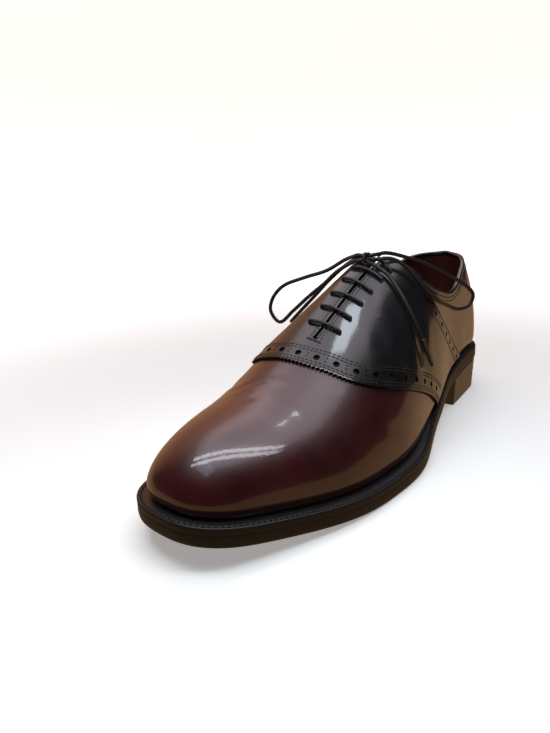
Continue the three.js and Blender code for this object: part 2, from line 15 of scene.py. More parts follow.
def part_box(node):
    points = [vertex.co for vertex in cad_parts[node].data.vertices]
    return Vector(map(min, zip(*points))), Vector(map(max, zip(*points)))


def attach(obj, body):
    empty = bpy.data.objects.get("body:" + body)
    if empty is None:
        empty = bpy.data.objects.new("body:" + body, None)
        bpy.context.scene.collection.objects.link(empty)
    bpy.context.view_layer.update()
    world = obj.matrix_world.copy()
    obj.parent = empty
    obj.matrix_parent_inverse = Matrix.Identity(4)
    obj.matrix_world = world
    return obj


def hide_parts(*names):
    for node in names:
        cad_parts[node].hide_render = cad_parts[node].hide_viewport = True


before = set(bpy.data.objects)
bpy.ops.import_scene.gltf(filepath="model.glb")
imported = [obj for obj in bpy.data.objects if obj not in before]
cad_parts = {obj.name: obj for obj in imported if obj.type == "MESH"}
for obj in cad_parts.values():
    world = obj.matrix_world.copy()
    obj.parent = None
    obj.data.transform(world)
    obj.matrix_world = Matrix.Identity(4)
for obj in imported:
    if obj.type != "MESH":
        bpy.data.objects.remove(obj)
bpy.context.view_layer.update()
MM = 0.001

# %% [markdown]
# The camera stands where the photographer's phone was: close to the toe, on the outer side,
# a little above the shoe and slightly rolled. It comes first, because the lace is judged by
# what it sees. The numbers were fitted to the outline of the sole and the upper.

# %% Camera
IMAGE_SIZE = (550, 733)
FOCAL_PIXELS = 520
SENSOR = 36
VIEW = {"azimuth": 39.897, "elevation": 17.135, "roll": -2.952, "distance": 328.995}
VIEW_TARGET = Vector((-49.26, -17.49, 40))


def camera_axes(azimuth, elevation, roll):
    """Right, up and backward directions of a camera that looks along +Y at azimuth 0."""
    turn, lift, tilt = (math.radians(angle) for angle in (azimuth, elevation, roll))
    back = Vector((math.sin(turn) * math.cos(lift), -math.cos(turn) * math.cos(lift), math.sin(lift)))
    right = Vector((math.cos(turn), math.sin(turn), 0))
    up = back.cross(right)
    return (
        math.cos(tilt) * right + math.sin(tilt) * up,
        math.cos(tilt) * up - math.sin(tilt) * right,
        back,
    )


bpy.ops.object.select_all(action="DESELECT")
bpy.ops.object.camera_add()
camera = bpy.context.object
camera.name = "camera"
right, up, back = camera_axes(VIEW["azimuth"], VIEW["elevation"], VIEW["roll"])
place = Matrix((right, up, back)).transposed().to_4x4()
place.translation = (VIEW_TARGET + VIEW["distance"] * back) * MM
camera.matrix_world = place
camera.data.sensor_fit = "VERTICAL"
camera.data.sensor_height = SENSOR
camera.data.lens = SENSOR * FOCAL_PIXELS / IMAGE_SIZE[1]
camera.data.clip_start = 0.01
bpy.context.scene.camera = camera
print("camera at", [round(c / MM) for c in camera.location], "mm, lens", round(camera.data.lens, 2))

# %% [markdown]
# Every leather piece of the shoe was pulled over the same last, so one function describes
# them all. It takes a share of the last's length, an angle round the section and a growth,
# and gives a point. The tables are the ones that the solids were made with, read here by
# curves whose bending is also smooth, because polished leather shows every break in it.

# %% Sizes of the last
LAST_LENGTH = 294
BALL_WIDTH = 98.6
INSTEP_RISE = 92
HEEL_HEIGHT = 22
HEEL_LENGTH = 73.5
TOE_SPRING = 10.5
SOLE_THICKNESS = 5.7
WELT_THICKNESS = 3.3
QUARTER_HEIGHT = 64
GAP = 0.3
WALL = 2
SADDLE_TOP = 1.5
TUCK = 2.2
TUCK_HEIGHT = 7
REACH_HEEL = 1.8
REACH_INNER_SIDE = 4.2
REACH_OUTER_SIDE = 5.4
ARCH = {"from": 0.64, "length": 0.50}
SPRING = {"from": 0.70, "power": 1.6}
WAIST = {"back": 0.42, "front": 0.60}
HEEL_ROUND = 0.115
TOE_ROUND = {"share": 0.27, "power": 2.6}
TOE_DROP = {"share": 0.17, "power": 1.95}
HEEL_CURVE_REACH = 0.22
TOP_LINE_BLEND = 24

LAST = {
    "at": (0.00, 0.10, 0.20, 0.30, 0.40, 0.50, 0.60, 0.68, 0.76, 0.84, 0.92, 1.00),
    "centre": (-0.061, -0.051, -0.026, 0.020, 0.071, 0.079, 0.030, -0.012, -0.023, -0.041, -0.049, -0.049),
    "half": (0.330, 0.335, 0.333, 0.314, 0.327, 0.375, 0.467, 0.500, 0.477, 0.432, 0.389, 0.385),
    "rise": (0.924, 0.924, 0.957, 1.011, 1.000, 0.935, 0.788, 0.636, 0.489, 0.397, 0.364, 0.342),
    "ridge": (-0.061, -0.051, -0.025, 0.000, -0.005, -0.020, -0.051, -0.066, -0.071, -0.056, -0.046, -0.051),
    "full": (1.90, 1.90, 1.95, 2.05, 2.05, 1.95, 1.95, 1.95, 2.00, 2.10, 2.15, 2.20),
}
HEEL_CURVE = {
    "at": (0.00, 0.19, 0.39, 0.62, 0.81, 1.00, 1.50),
    "out": (0.000, 0.041, 0.059, 0.037, -0.009, -0.055, -0.140),
}
TOP_LINE = {
    "at": (0.00, 0.06, 0.12, 0.18, 0.26, 0.32, 0.37, 0.41, 0.44, 0.47),
    "outer": (1.000, 0.965, 0.880, 0.775, 0.715, 0.775, 0.865, 1.010, 1.110, 1.170),
    "inner": (1.010, 0.990, 0.950, 0.905, 0.870, 0.890, 0.950, 1.050, 1.120, 1.170),
}
SADDLE_EDGES = {
    "at": (0, 10, 20, 30, 40, 52, 64, 78, 90),
    "back": (0.215, 0.268, 0.323, 0.366, 0.395, 0.405, 0.405, 0.405, 0.405),
    "front": (0.425, 0.478, 0.542, 0.605, 0.655, 0.689, 0.704, 0.714, 0.716),
}


def read_table(table, column, at):
    """A table's column at any place, on a cubic curve with smooth bending."""
    x, y = np.array(table["at"], float), np.array(table[column], float)
    step = np.diff(x)
    rise = np.diff(y) / step
    system = np.eye(len(x))
    sides = np.r_[rise[0], np.zeros(len(x) - 2), rise[-1]]
    for i in range(1, len(x) - 1):
        system[i, i - 1 : i + 2] = 1 / step[i - 1], 2 / step[i - 1] + 2 / step[i], 1 / step[i]
        sides[i] = 3 * (rise[i - 1] / step[i - 1] + rise[i] / step[i])
    slope = np.linalg.solve(system, sides)
    at = np.clip(np.asarray(at, float), x[0], x[-1])
    i = np.clip(np.searchsorted(x, at, side="right") - 1, 0, len(x) - 2)
    t = (at - x[i]) / step[i]
    return (
        (2 * t**3 - 3 * t**2 + 1) * y[i]
        + (t**3 - 2 * t**2 + t) * step[i] * slope[i]
        + (3 * t**2 - 2 * t**3) * y[i + 1]
        + (t**3 - t**2) * step[i] * slope[i + 1]
    )


def smoothstep(x, low, high):
    t = np.clip((x - low) / (high - low), 0, 1)
    return t * t * (3 - 2 * t)


# %% The last as a function
def sole_height(share):
    toe = np.maximum((share - SPRING["from"]) / (1 - SPRING["from"]), 0)
    return HEEL_HEIGHT * smoothstep(ARCH["from"] - share, 0, ARCH["length"]) + TOE_SPRING * toe ** SPRING["power"]


def welt_top(share):
    return sole_height(share) + SOLE_THICKNESS + GAP + WELT_THICKNESS


def share_of(y):
    return 0.5 - y / LAST_LENGTH


def end_round(share):
    heel = np.sqrt(np.clip(1 - np.maximum(1 - share / HEEL_ROUND, 0) ** 2, 0, 1))
    toe = np.clip((share - 1 + TOE_ROUND["share"]) / TOE_ROUND["share"], 0, 1)
    return heel * (1 - toe ** TOE_ROUND["power"]) ** (1 / TOE_ROUND["power"])


def section(share, grow):
    """The last's section there: its two sides, ridge, rise and squareness."""
    narrow = end_round(share)
    swell = grow * np.minimum(1, 3 * narrow)
    drop = np.clip((share - 1 + TOE_DROP["share"]) / TOE_DROP["share"], 0, 1)
    centre = read_table(LAST, "centre", share) * BALL_WIDTH
    half = read_table(LAST, "half", share) * BALL_WIDTH * narrow + swell
    ridge = centre + (read_table(LAST, "ridge", share) * BALL_WIDTH - centre) * narrow
    rise = read_table(LAST, "rise", share) * INSTEP_RISE
    rise = rise * (1 - drop ** TOE_DROP["power"]) ** (1 / TOE_DROP["power"]) + swell
    return centre + half, centre - half, ridge, rise, read_table(LAST, "full", share)


def outline_normal(share, side):
    """Direction out of the feather line, seen from above."""
    ends = []
    for nudge in (-0.02, 0.02):
        turn = np.arccos(np.clip(1 - 2 * share, -1, 1)) * side + nudge
        near = (1 - np.cos(turn)) / 2
        outer, inner, _, _, _ = section(near, 0)
        ends.append((np.where(np.sin(turn) > 0, outer, inner), (0.5 - near) * LAST_LENGTH))
    dx, dy = ends[1][0] - ends[0][0], ends[1][1] - ends[0][1]
    length = np.hypot(dx, dy)
    return -dy / length, dx / length


def form_point(share, angle, grow=0.0):
    """Points of the form in millimetres of the last: angle 0 is the outer feather line,
    90 the ridge and 180 the inner feather line."""
    share, angle, grow = (np.asarray(value, float) for value in np.broadcast_arrays(share, angle, grow))
    outer, inner, ridge, rise, full = section(share, grow)
    turn = np.radians(angle)
    side = np.where(angle <= 90, 1, -1)
    across = np.abs(np.cos(turn)) ** (2 / full)
    up = rise * np.clip(np.sin(turn), 0, 1) ** (2 / full)
    x = ridge + (np.where(side > 0, outer, inner) - ridge) * across
    y = (0.5 - share) * (LAST_LENGTH + 2 * grow)
    fade = np.maximum(1 - share / HEEL_CURVE_REACH, 0) ** 2
    out = read_table(HEEL_CURVE, "out", up / QUARTER_HEIGHT) * QUARTER_HEIGHT * fade
    fold = 1 - end_round(share) * (1 - across)
    tuck = TUCK * np.maximum(1 - up / TUCK_HEIGHT, 0) ** 2 * fold
    normal_x, normal_y = outline_normal(share, side)
    foot = welt_top(share_of(y - normal_y * tuck)) + GAP
    return np.stack([x - normal_x * tuck, y + out - normal_y * tuck, foot + up], axis=-1)


def angle_at(share, x, grow=0.0):
    """The angle at which the form passes over a sideways place."""
    outer, inner, ridge, _, full = section(share, grow)
    edge = np.where(x >= ridge, outer, inner)
    across = np.clip((x - ridge) / (edge - ridge), 0, 1)
    angle = np.degrees(np.arccos(across ** (full / 2)))
    return np.where(x >= ridge, angle, 180 - angle)


def form_normal(share, angle, grow=0.0):
    """Unit normals of the form, pointing out."""
    share, angle = (np.asarray(value, float) for value in np.broadcast_arrays(share, angle))
    ds, da = 0.001, 0.4
    along = form_point(share + ds, angle, grow) - form_point(share - ds, angle, grow)
    round_ = form_point(share, angle + da, grow) - form_point(share, angle - da, grow)
    normal = np.cross(round_, along)
    normal /= np.linalg.norm(normal, axis=-1, keepdims=True)
    return -normal if np.sum(normal[..., 2]) < 0 else normal


def welt_reach(share, side, less=0.0):
    """How far the welt stands out of the feather line."""
    side_reach = np.where(side > 0, REACH_OUTER_SIDE, REACH_INNER_SIDE)
    part = smoothstep(share, WAIST["back"], WAIST["front"])
    return REACH_HEEL + (side_reach - REACH_HEEL) * part - less


def outline(reach, grow=0.0, count=360, end_share=1.0, whole=True):
    """The feather outline pushed out by reach(share, side), as rows of x, y and share."""
    end = math.acos(1 - 2 * end_share)
    step = (np.arange(count) + 0.5) / count if whole else np.arange(count) / (count - 1)
    turn = end - 2 * end * step
    share = (1 - np.cos(turn)) / 2
    side = np.where(turn >= 0, 1, -1)
    outer, inner, _, _, _ = section(share, grow)
    normal_x, normal_y = outline_normal(share, side)
    out = reach(share, side)
    x = np.where(side > 0, outer, inner) + normal_x * out
    y = (0.5 - share) * (LAST_LENGTH + 2 * grow) + normal_y * out
    return x, y, share_of(y)


# %% [markdown]
# The model's origin lies under the middle of the shoe, and the last's own origin under the
# middle of the last. The outsole's box in the frame gives the small step between the two.

# %% From the last to the model
sole_low, sole_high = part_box("outsole")
edge_x, edge_y, _ = outline(welt_reach, count=2000)
SHIFT = np.array([
    (sole_low.x + sole_high.x) / 2 / MM - (edge_x.min() + edge_x.max()) / 2,
    (sole_low.y + sole_high.y) / 2 / MM - (edge_y.min() + edge_y.max()) / 2,
    0,
])


def to_model(points):
    """Millimetres of the last to metres of the model."""
    return (np.asarray(points, float) + SHIFT) * MM


print("the last's origin in the model, mm:", SHIFT.round(2))

# %% [markdown]
# The lace is a round waxed cord of 2.2 mm. Its loops and ends lie free, so each is a curve
# along the route that its solid has, and its length is printed. The routes are lists of
# places chosen on the last.

# %% Routes of the free lace
LACE_DIAMETER = 2.2
AGLET_LENGTH = 17
AGLET_DIAMETER = 2.6
KNOT = (3.5, 3.6, 106.6)
LACE_ROUTES = {
    "lace_loop_outer": [
        (9.4, 5.2, 108.4), (11.5, 12, 108.6), (18.7, 25, 104.6), (26.5, 39, 98.6), (33, 53, 91),
        (38.4, 64, 84.6), (41.6, 70.5, 77.6), (40.4, 69, 71.4), (36.6, 60.5, 69.8), (34.6, 47, 74.4),
        (34.2, 31, 80.4), (31, 22.6, 87.4), (27.2, 19.6, 93.6), (21.4, 16.4, 100.9),
        (15.2, 10.6, 105.6), (9.9, 3, 105.8),
    ],
    "lace_loop_inner": [
        (-2.6, 4.2, 108), (-9, 1.8, 105.6), (-19.4, -2.3, 99.4), (-32.5, -8, 95.2),
        (-44.4, -13.2, 90.3), (-50.6, -16.2, 82.4), (-51.6, -16.9, 75), (-46.4, -15, 68.4),
        (-38.5, -11.4, 75.4), (-29.4, -7.4, 84.2), (-20, -4.4, 92), (-12.5, -2.2, 99), (-3.2, 1.2, 104.8),
    ],
    "lace_end_outer": [
        (8.8, 1.2, 103.4), (12.6, 2.2, 101.2), (17.9, 2.8, 97.2), (24.9, 1.7, 89.3),
        (31.3, 0.7, 80.2), (36, 0.7, 71.3), (39.1, 1.5, 64.4),
    ],
    "lace_end_inner": [
        (-2.9, 5.6, 106), (-8.8, 4.6, 103.2), (-20, 1.6, 93.6), (-30, 0, 83.4), (-34.8, -1.6, 78.4),
    ],
}
AGLET_TIPS = {"aglet_outer": (44, 4.6, 49), "aglet_inner": (-46, -4.8, 66.6)}


def route_points(route, steps=6):
    """A centripetal curve through a route, the one that the solids follow."""
    knots = np.array(route, float)
    knots = np.vstack([2 * knots[0] - knots[1], knots, 2 * knots[-1] - knots[-2]])
    out = []
    for i in range(1, len(knots) - 2):
        p = knots[i - 1 : i + 3]
        t = np.r_[0, np.cumsum(np.linalg.norm(np.diff(p, axis=0), axis=1) ** 0.5)]
        for u in np.linspace(t[1], t[2], steps, endpoint=False):
            a = [((t[k + 1] - u) * p[k] + (u - t[k]) * p[k + 1]) / (t[k + 1] - t[k]) for k in range(3)]
            b = [((t[k + 2] - u) * a[k] + (u - t[k]) * a[k + 1]) / (t[k + 2] - t[k]) for k in range(2)]
            out.append(((t[2] - u) * b[0] + (u - t[1]) * b[1]) / (t[2] - t[1]))
    return np.vstack([out, knots[-2]])


def cord_curve(name, points, diameter):
    """A round cord along points in metres of the model, as a curve of one open spline."""
    data = bpy.data.curves.new(name, "CURVE")
    data.dimensions = "3D"
    data.bevel_depth = diameter * MM / 2
    data.bevel_resolution = 4
    data.use_fill_caps = True
    spline = data.splines.new("POLY")
    spline.points.add(len(points) - 1)
    spline.points.foreach_set("co", np.c_[points, np.ones(len(points))].ravel())
    piece = bpy.data.objects.new(name, data)
    bpy.context.collection.objects.link(piece)
    return piece


def length_of(points):
    return float(np.linalg.norm(np.diff(points, axis=0), axis=1).sum())


free_lace = {}
for name, route in LACE_ROUTES.items():
    points = to_model(route_points(route))
    free_lace[name] = cord_curve(name + "_cord", points, LACE_DIAMETER)
    print(name, "is", round(length_of(points) / MM), "mm long")

# %% [markdown]
# Finishes come next, so that each piece can be given its own as it is made. All leather here
# is one recipe with other numbers: a colour that varies a little, a fine grain as bump, soft
# wrinkles at a larger scale, and a coat of polish over it that gives the sharp reflections.

# %% Finishes
def new_finish(name):
    """A material with its shader node, and a function that adds and links nodes."""
    finish = bpy.data.materials.new(name)
    finish.use_nodes = True
    tree = finish.node_tree
    shader = tree.nodes["Principled BSDF"]

    def add(kind, settings=None, **inputs):
        node = tree.nodes.new(kind)
        for key, value in (settings or {}).items():
            setattr(node, key, value)
        for key, value in inputs.items():
            socket = node.inputs[key.replace("_", " ")]
            if isinstance(value, bpy.types.NodeSocket):
                tree.links.new(value, socket)
            else:
                socket.default_value = value
        return node

    return finish, tree, shader, add


def mix_of(add, factor, first, second):
    """A colour between two, by a factor socket."""
    ramp = add("ShaderNodeValToRGB", None, Fac=factor)
    ramp.color_ramp.elements[0].color = (*first, 1)
    ramp.color_ramp.elements[1].color = (*second, 1)
    return ramp


def leather(name, dark, light, roughness, grain=0.05, wrinkle=0.2, coat=0.9, coat_roughness=0.06, cell=0.9):
    """Polished leather: dark and light are its colours, grain and wrinkle the depth of its bump."""
    finish, tree, shader, add = new_finish(name)
    where = add("ShaderNodeTexCoord").outputs["Object"]
    cloud = add("ShaderNodeTexNoise", None, Vector=where, Scale=34.0, Detail=4.0, Roughness=0.55)
    colour = mix_of(add, cloud.outputs["Fac"], dark, light)
    colour.color_ramp.elements[0].position = 0.32
    colour.color_ramp.elements[1].position = 0.70
    tree.links.new(colour.outputs["Color"], shader.inputs["Base Color"])
    worn = add("ShaderNodeTexNoise", None, Vector=where, Scale=90.0, Detail=5.0, Roughness=0.6)
    shine = add("ShaderNodeMapRange", None, Value=worn.outputs["Fac"])
    shine.inputs["From Min"].default_value = 0.3
    shine.inputs["From Max"].default_value = 0.75
    shine.inputs["To Min"].default_value = roughness * 0.85
    shine.inputs["To Max"].default_value = roughness * 1.25
    tree.links.new(shine.outputs["Result"], shader.inputs["Roughness"])
    cells = add("ShaderNodeTexVoronoi", {"feature": "SMOOTH_F1"}, Vector=where, Scale=1000.0 / cell)
    pores = add("ShaderNodeBump", None, Height=cells.outputs["Distance"], Strength=grain, Distance=0.0003)
    soft = add("ShaderNodeTexNoise", None, Vector=where, Scale=120.0, Detail=3.0)
    folds = add("ShaderNodeBump", None, Height=soft.outputs["Fac"], Strength=wrinkle, Distance=0.0006)
    tree.links.new(pores.outputs["Normal"], folds.inputs["Normal"])
    tree.links.new(folds.outputs["Normal"], shader.inputs["Normal"])
    tree.links.new(folds.outputs["Normal"], shader.inputs["Coat Normal"])
    shader.inputs["Coat Weight"].default_value = coat
    shader.inputs["Coat Roughness"].default_value = coat_roughness
    shader.inputs["IOR"].default_value = 1.5
    return finish


def plain_finish(name, colour, roughness, scale=400.0, bump=0.2, depth=0.0002, coat=0.0, vary=0.6):
    """A simple finish with a fine noise in its colour and bump."""
    finish, tree, shader, add = new_finish(name)
    where = add("ShaderNodeTexCoord").outputs["Object"]
    noise = add("ShaderNodeTexNoise", None, Vector=where, Scale=scale, Detail=5.0, Roughness=0.6)
    shade = mix_of(add, noise.outputs["Fac"], [c * vary for c in colour], [c / vary for c in colour])
    tree.links.new(shade.outputs["Color"], shader.inputs["Base Color"])
    fine = add("ShaderNodeBump", None, Height=noise.outputs["Fac"], Strength=bump, Distance=depth)
    tree.links.new(fine.outputs["Normal"], shader.inputs["Normal"])
    shader.inputs["Roughness"].default_value = roughness
    shader.inputs["Coat Weight"].default_value = coat
    shader.inputs["Coat Roughness"].default_value = 0.12
    return finish


OXBLOOD = leather(
    "oxblood_leather", (0.026, 0.0022, 0.0030), (0.056, 0.0046, 0.0060), 0.36,
    grain=0.05, wrinkle=0.07, coat_roughness=0.08,
)
BLACK = leather(
    "black_leather", (0.0036, 0.0044, 0.0052), (0.0080, 0.0092, 0.0104), 0.42, wrinkle=0.08, coat_roughness=0.13
)
BLACK.node_tree.nodes["Principled BSDF"].inputs["Coat IOR"].default_value = 1.68
LINING = plain_finish("lining_leather", (0.10, 0.022, 0.018), 0.5, bump=0.3)
# Near-black and matte, darker than the black leather: painted shade for the walls of the punched holes and for the
# discs under them.
PAINTED_HOLE_SHADE = plain_finish("painted_shade_inside_holes", (0.0015, 0.0015, 0.0016), 0.9)
THREAD = plain_finish("waxed_black_thread", (0.010, 0.010, 0.011), 0.45, scale=2500.0, bump=0.5)
LACE = plain_finish("waxed_lace", (0.0065, 0.0065, 0.007), 0.48, scale=2200.0, bump=0.6, depth=0.0003)
TIP = plain_finish("lace_tip_film", (0.010, 0.010, 0.011), 0.28, coat=0.4)
WELT_EDGE = plain_finish("welt_leather", (0.0070, 0.0070, 0.0066), 0.42, scale=900.0, bump=0.9, coat=0.2)
# Black thread, darker than the saddle's thread: its own colour, and partly painted shade so that the welt stitches
# read as dark pits.
WELT_THREAD_AND_PIT_SHADE = plain_finish("welt_thread_with_painted_pit_shade", (0.0030, 0.0030, 0.0030), 0.6, scale=2500.0, bump=0.5)
SOLE_EDGE = plain_finish("sole_edge", (0.0084, 0.0084, 0.0056), 0.55, scale=500.0, bump=0.6, coat=0.06)
# Brown, lighter than the sole edge: the heel's own stacked leather, and partly a painted sheen for the tan
# reflection on its side.
HEEL_EDGE_WITH_SHEEN = plain_finish("heel_edge_with_painted_sheen", (0.022, 0.017, 0.011), 0.42, scale=500.0, bump=0.5, coat=0.3)
SOLE_UNDER = plain_finish("sole_underside", (0.055, 0.030, 0.015), 0.6, scale=260.0, bump=0.5)
for finish, level in ((BLACK, 0.15), (WELT_EDGE, 0.3), (SOLE_EDGE, 0.3)):
    finish.node_tree.nodes["Principled BSDF"].inputs["Specular IOR Level"].default_value = level
print("finishes made:", len(bpy.data.materials))


# %% [markdown]
# A panel starts as Blender's grid primitive. Its flat places run from 0 to 1 both ways, and a
# function moves each one onto the last, as a flat piece of leather is pulled over wood. The
# helpers below do what a modeller does by hand afterwards: join halves, merge what meets,
# turn faces out, and give the sheet its thickness.

# %% Helpers for panels
def only(piece):
    """Makes a piece the one that is selected and active."""
    bpy.ops.object.select_all(action="DESELECT")
    piece.select_set(True)
    bpy.context.view_layer.objects.active = piece
    return piece


def panel(name, columns, rows, place):
    """A grid whose flat places u, v from 0 to 1 are moved by place(u, v), in metres."""
    bpy.ops.object.select_all(action="DESELECT")
    bpy.ops.mesh.primitive_grid_add(x_subdivisions=columns, y_subdivisions=rows, size=1)
    piece = bpy.context.object
    piece.name = piece.data.name = name
    flat = np.empty(len(piece.data.vertices) * 3)
    piece.data.vertices.foreach_get("co", flat)
    flat = flat.reshape(-1, 3) + 0.5
    piece.data.vertices.foreach_set("co", place(flat[:, 0], flat[:, 1]).ravel())
    piece.data.update()
    return piece


def joined(name, pieces, merge=0.02):
    """Several meshes as one, with vertices that meet merged."""
    bpy.ops.object.select_all(action="DESELECT")
    for piece in pieces:
        piece.select_set(True)
    bpy.context.view_layer.objects.active = pieces[0]
    bpy.ops.object.join()
    piece = bpy.context.object
    piece.name = piece.data.name = name
    bpy.ops.object.mode_set(mode="EDIT")
    bpy.ops.mesh.select_all(action="SELECT")
    bpy.ops.mesh.remove_doubles(threshold=merge * MM)
    bpy.ops.object.mode_set(mode="OBJECT")
    return piece


def face_out(piece, centre_height=35):
    """Turns an open shell's faces away from the middle of the last."""
    only(piece)
    bpy.ops.object.mode_set(mode="EDIT")
    bpy.ops.mesh.select_all(action="SELECT")
    bpy.ops.mesh.normals_make_consistent(inside=False)
    bpy.ops.object.mode_set(mode="OBJECT")
    total = 0
    for face in piece.data.polygons:
        middle = Vector((0, face.center.y, centre_height * MM))
        total += face.area * (face.center - middle).normalized().dot(face.normal)
    if total < 0:
        bpy.ops.object.mode_set(mode="EDIT")
        bpy.ops.mesh.select_all(action="SELECT")
        bpy.ops.mesh.flip_normals()
        bpy.ops.object.mode_set(mode="OBJECT")
    return piece


def modify(piece, kind, **settings):
    """Adds one modifier with its settings and applies it."""
    only(piece)
    bpy.ops.object.modifier_add(type=kind)
    modifier = piece.modifiers[-1]
    for key, value in settings.items():
        setattr(modifier, key, value)
    bpy.ops.object.modifier_apply(modifier=modifier.name)
    return piece


def thicken(piece, thickness):
    """Gives an open shell a wall, inwards from its outer face."""
    return modify(piece, "SOLIDIFY", thickness=thickness * MM, offset=-1)


def finish_piece(piece, material, slot, *nodes, smooth=40):
    """Shades a piece, gives it its finish, hangs it under the root and hides the solids that it stands for."""
    only(piece)
    if piece.type == "MESH":
        bpy.ops.object.shade_smooth_by_angle(angle=math.radians(smooth))
    if piece.type == "MESH":
        check = bmesh.new()
        check.from_mesh(piece.data)
        print("   open edges", sum(not e.is_manifold for e in check.edges), "volume", round(check.calc_volume(signed=True) / MM**3))
        check.free()
    if not piece.data.materials:
        piece.data.materials.append(material)
    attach(piece, "root")
    if nodes:
        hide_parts(*nodes)
    if piece.type == "MESH":
        print(piece.name, "has", sum(len(face.vertices) - 2 for face in piece.data.polygons), "triangles")
    return piece


# %% [markdown]
# Upper leather ends at the top line round the foot, and at the slit of the throat. For each
# share of the length the code looks for the angle at which the form reaches one or the
# other. Each half of the upper then runs from its feather line to that angle, so the panel's
# edge lies exactly on the collar and on the facings.

# %% Where the upper ends
THROAT_MARGIN = 14.5
THROAT_LENGTH = 60.5
THROAT_SLIT = 2.2
THROAT_TOP_SIDE = 7
THROAT_FOOT_SIDE = 3
THROAT_FOOT = SADDLE_EDGES["front"][-1] * LAST_LENGTH - THROAT_MARGIN
THROAT_TOP = THROAT_FOOT - THROAT_LENGTH


def throat_side(share):
    """Sideways place of the throat line."""
    t = (share * LAST_LENGTH - THROAT_TOP) / THROAT_LENGTH
    return THROAT_TOP_SIDE + (THROAT_FOOT_SIDE - THROAT_TOP_SIDE) * t


def top_height(points):
    """Height of the top line over points of the form."""
    share = share_of(points[..., 1])
    blend = smoothstep(points[..., 0], -TOP_LINE_BLEND, TOP_LINE_BLEND)
    outer, inner = read_table(TOP_LINE, "outer", share), read_table(TOP_LINE, "inner", share)
    return welt_top(0) + GAP + QUARTER_HEIGHT * (inner + (outer - inner) * blend)


def collar_angle(share, side):
    """The angle, seen from that side's foot, at which the form reaches the top line."""
    low, high = np.zeros_like(share), np.full_like(share, 100.0)
    for _ in range(30):
        middle = (low + high) / 2
        points = form_point(share, middle if side > 0 else 180 - middle)
        under = points[..., 2] < top_height(points)
        low, high = np.where(under, middle, low), np.where(under, high, middle)
    low = np.where(low > 99.9, 180, low)
    return low if side > 0 else 180 - low


EDGE_SHARES = np.linspace(0, 1, 1601)


def edge_angles(slit):
    """For each side, the angle of the upper's edge at every share."""
    half = slit / 2 * np.sqrt(np.clip((THROAT_FOOT - EDGE_SHARES * LAST_LENGTH) / (slit / 2), 0, 1))
    until = np.minimum(EDGE_SHARES, THROAT_FOOT / LAST_LENGTH)
    angles = {}
    for side in (1, -1):
        collar = collar_angle(EDGE_SHARES, side)
        throat = angle_at(until, throat_side(until) + side * half)
        nearer = np.minimum(collar, throat) if side > 0 else np.maximum(collar, throat)
        angles[side] = np.where(EDGE_SHARES > 0.38, nearer, collar)
    return angles


UPPER_EDGE = edge_angles(THROAT_SLIT + 3.0)
SADDLE_EDGE = edge_angles(THROAT_SLIT)
CALM_SHARES = 161
BACK_SEAM = 0.06


def edge_angle(share, side, edges=UPPER_EDGE):
    return np.interp(share, EDGE_SHARES, edges[side])


def calm_edge(share, side, edges):
    """The edge averaged over its neighbourhood, as an angle up from that side's foot."""
    padded = np.pad(edges[side], CALM_SHARES // 2, mode="edge")
    calm = np.interp(share, EDGE_SHARES, np.convolve(padded, np.ones(CALM_SHARES) / CALM_SHARES, "valid"))
    return calm if side > 0 else 180 - calm


def half_angle(share, v, side, edges=UPPER_EDGE):
    """The angle at v from 0, the foot, to 1, the edge, on one side of the upper. Only the
    rows near the edge follow its sharp turns, so that the rows below them stay smooth. At the
    back seam both sides have the same rows, so that their vertices meet."""
    own, other = calm_edge(share, side, edges), calm_edge(share, -side, edges)
    calm = own + (other - own) / 2 * smoothstep(BACK_SEAM - share, 0, BACK_SEAM)
    edge = edge_angle(share, side, edges)
    angle = v * calm + ((edge if side > 0 else 180 - edge) - calm) * v**6
    return angle if side > 0 else 180 - angle


print("the collar is lowest at", round(float(collar_angle(np.array([0.26]), 1)[0])), "degrees on the outer side")

# %% [markdown]
# Worn leather creases where the foot bends. The vamp of this shoe has only shallow ones
# behind the toe, and the saddle hangs in soft folds on its outer side. Each is placed:
# a line over the last by share and angle, a depth and a width, as a soft trough with
# a low ridge beside it.

# %% Creases
VAMP_CREASES = [
    {"line": [(0.799, 117), (0.783, 106), (0.764, 97), (0.752, 80), (0.745, 68)], "depth": 0.34, "width": 2.2},
    {"line": [(0.791, 90), (0.793, 74), (0.792, 64)], "depth": 0.11, "width": 2.4},
    {"line": [(0.789, 67), (0.785, 59), (0.780, 51)], "depth": 0.08, "width": 2.4},
    {"line": [(0.832, 97), (0.815, 92), (0.799, 83)], "depth": 0.16, "width": 2.4},
    {"line": [(0.742, 150), (0.752, 128), (0.762, 112)], "depth": 0.30, "width": 3.0},
    {"line": [(0.775, 160), (0.770, 146), (0.758, 132)], "depth": 0.25, "width": 3.2},
    {"line": [(0.735, 70), (0.728, 54), (0.712, 40), (0.690, 30)], "depth": 0.08, "width": 4.4},
    {"line": [(0.700, 30), (0.672, 22), (0.640, 14)], "depth": 0.25, "width": 4.0},
]
SADDLE_CREASES = [
    {"line": [(0.560, 58), (0.590, 48), (0.610, 38), (0.600, 30)], "depth": 0.75, "width": 5.0},
    {"line": [(0.500, 60), (0.535, 48), (0.560, 36), (0.560, 26)], "depth": 0.85, "width": 5.5},
    {"line": [(0.455, 58), (0.480, 44), (0.500, 30), (0.495, 20)], "depth": 0.70, "width": 6.0},
    {"line": [(0.620, 120), (0.600, 134), (0.575, 146)], "depth": 0.6, "width": 5.0},
    {"line": [(0.540, 118), (0.530, 134), (0.505, 150)], "depth": 0.7, "width": 6.0},
]


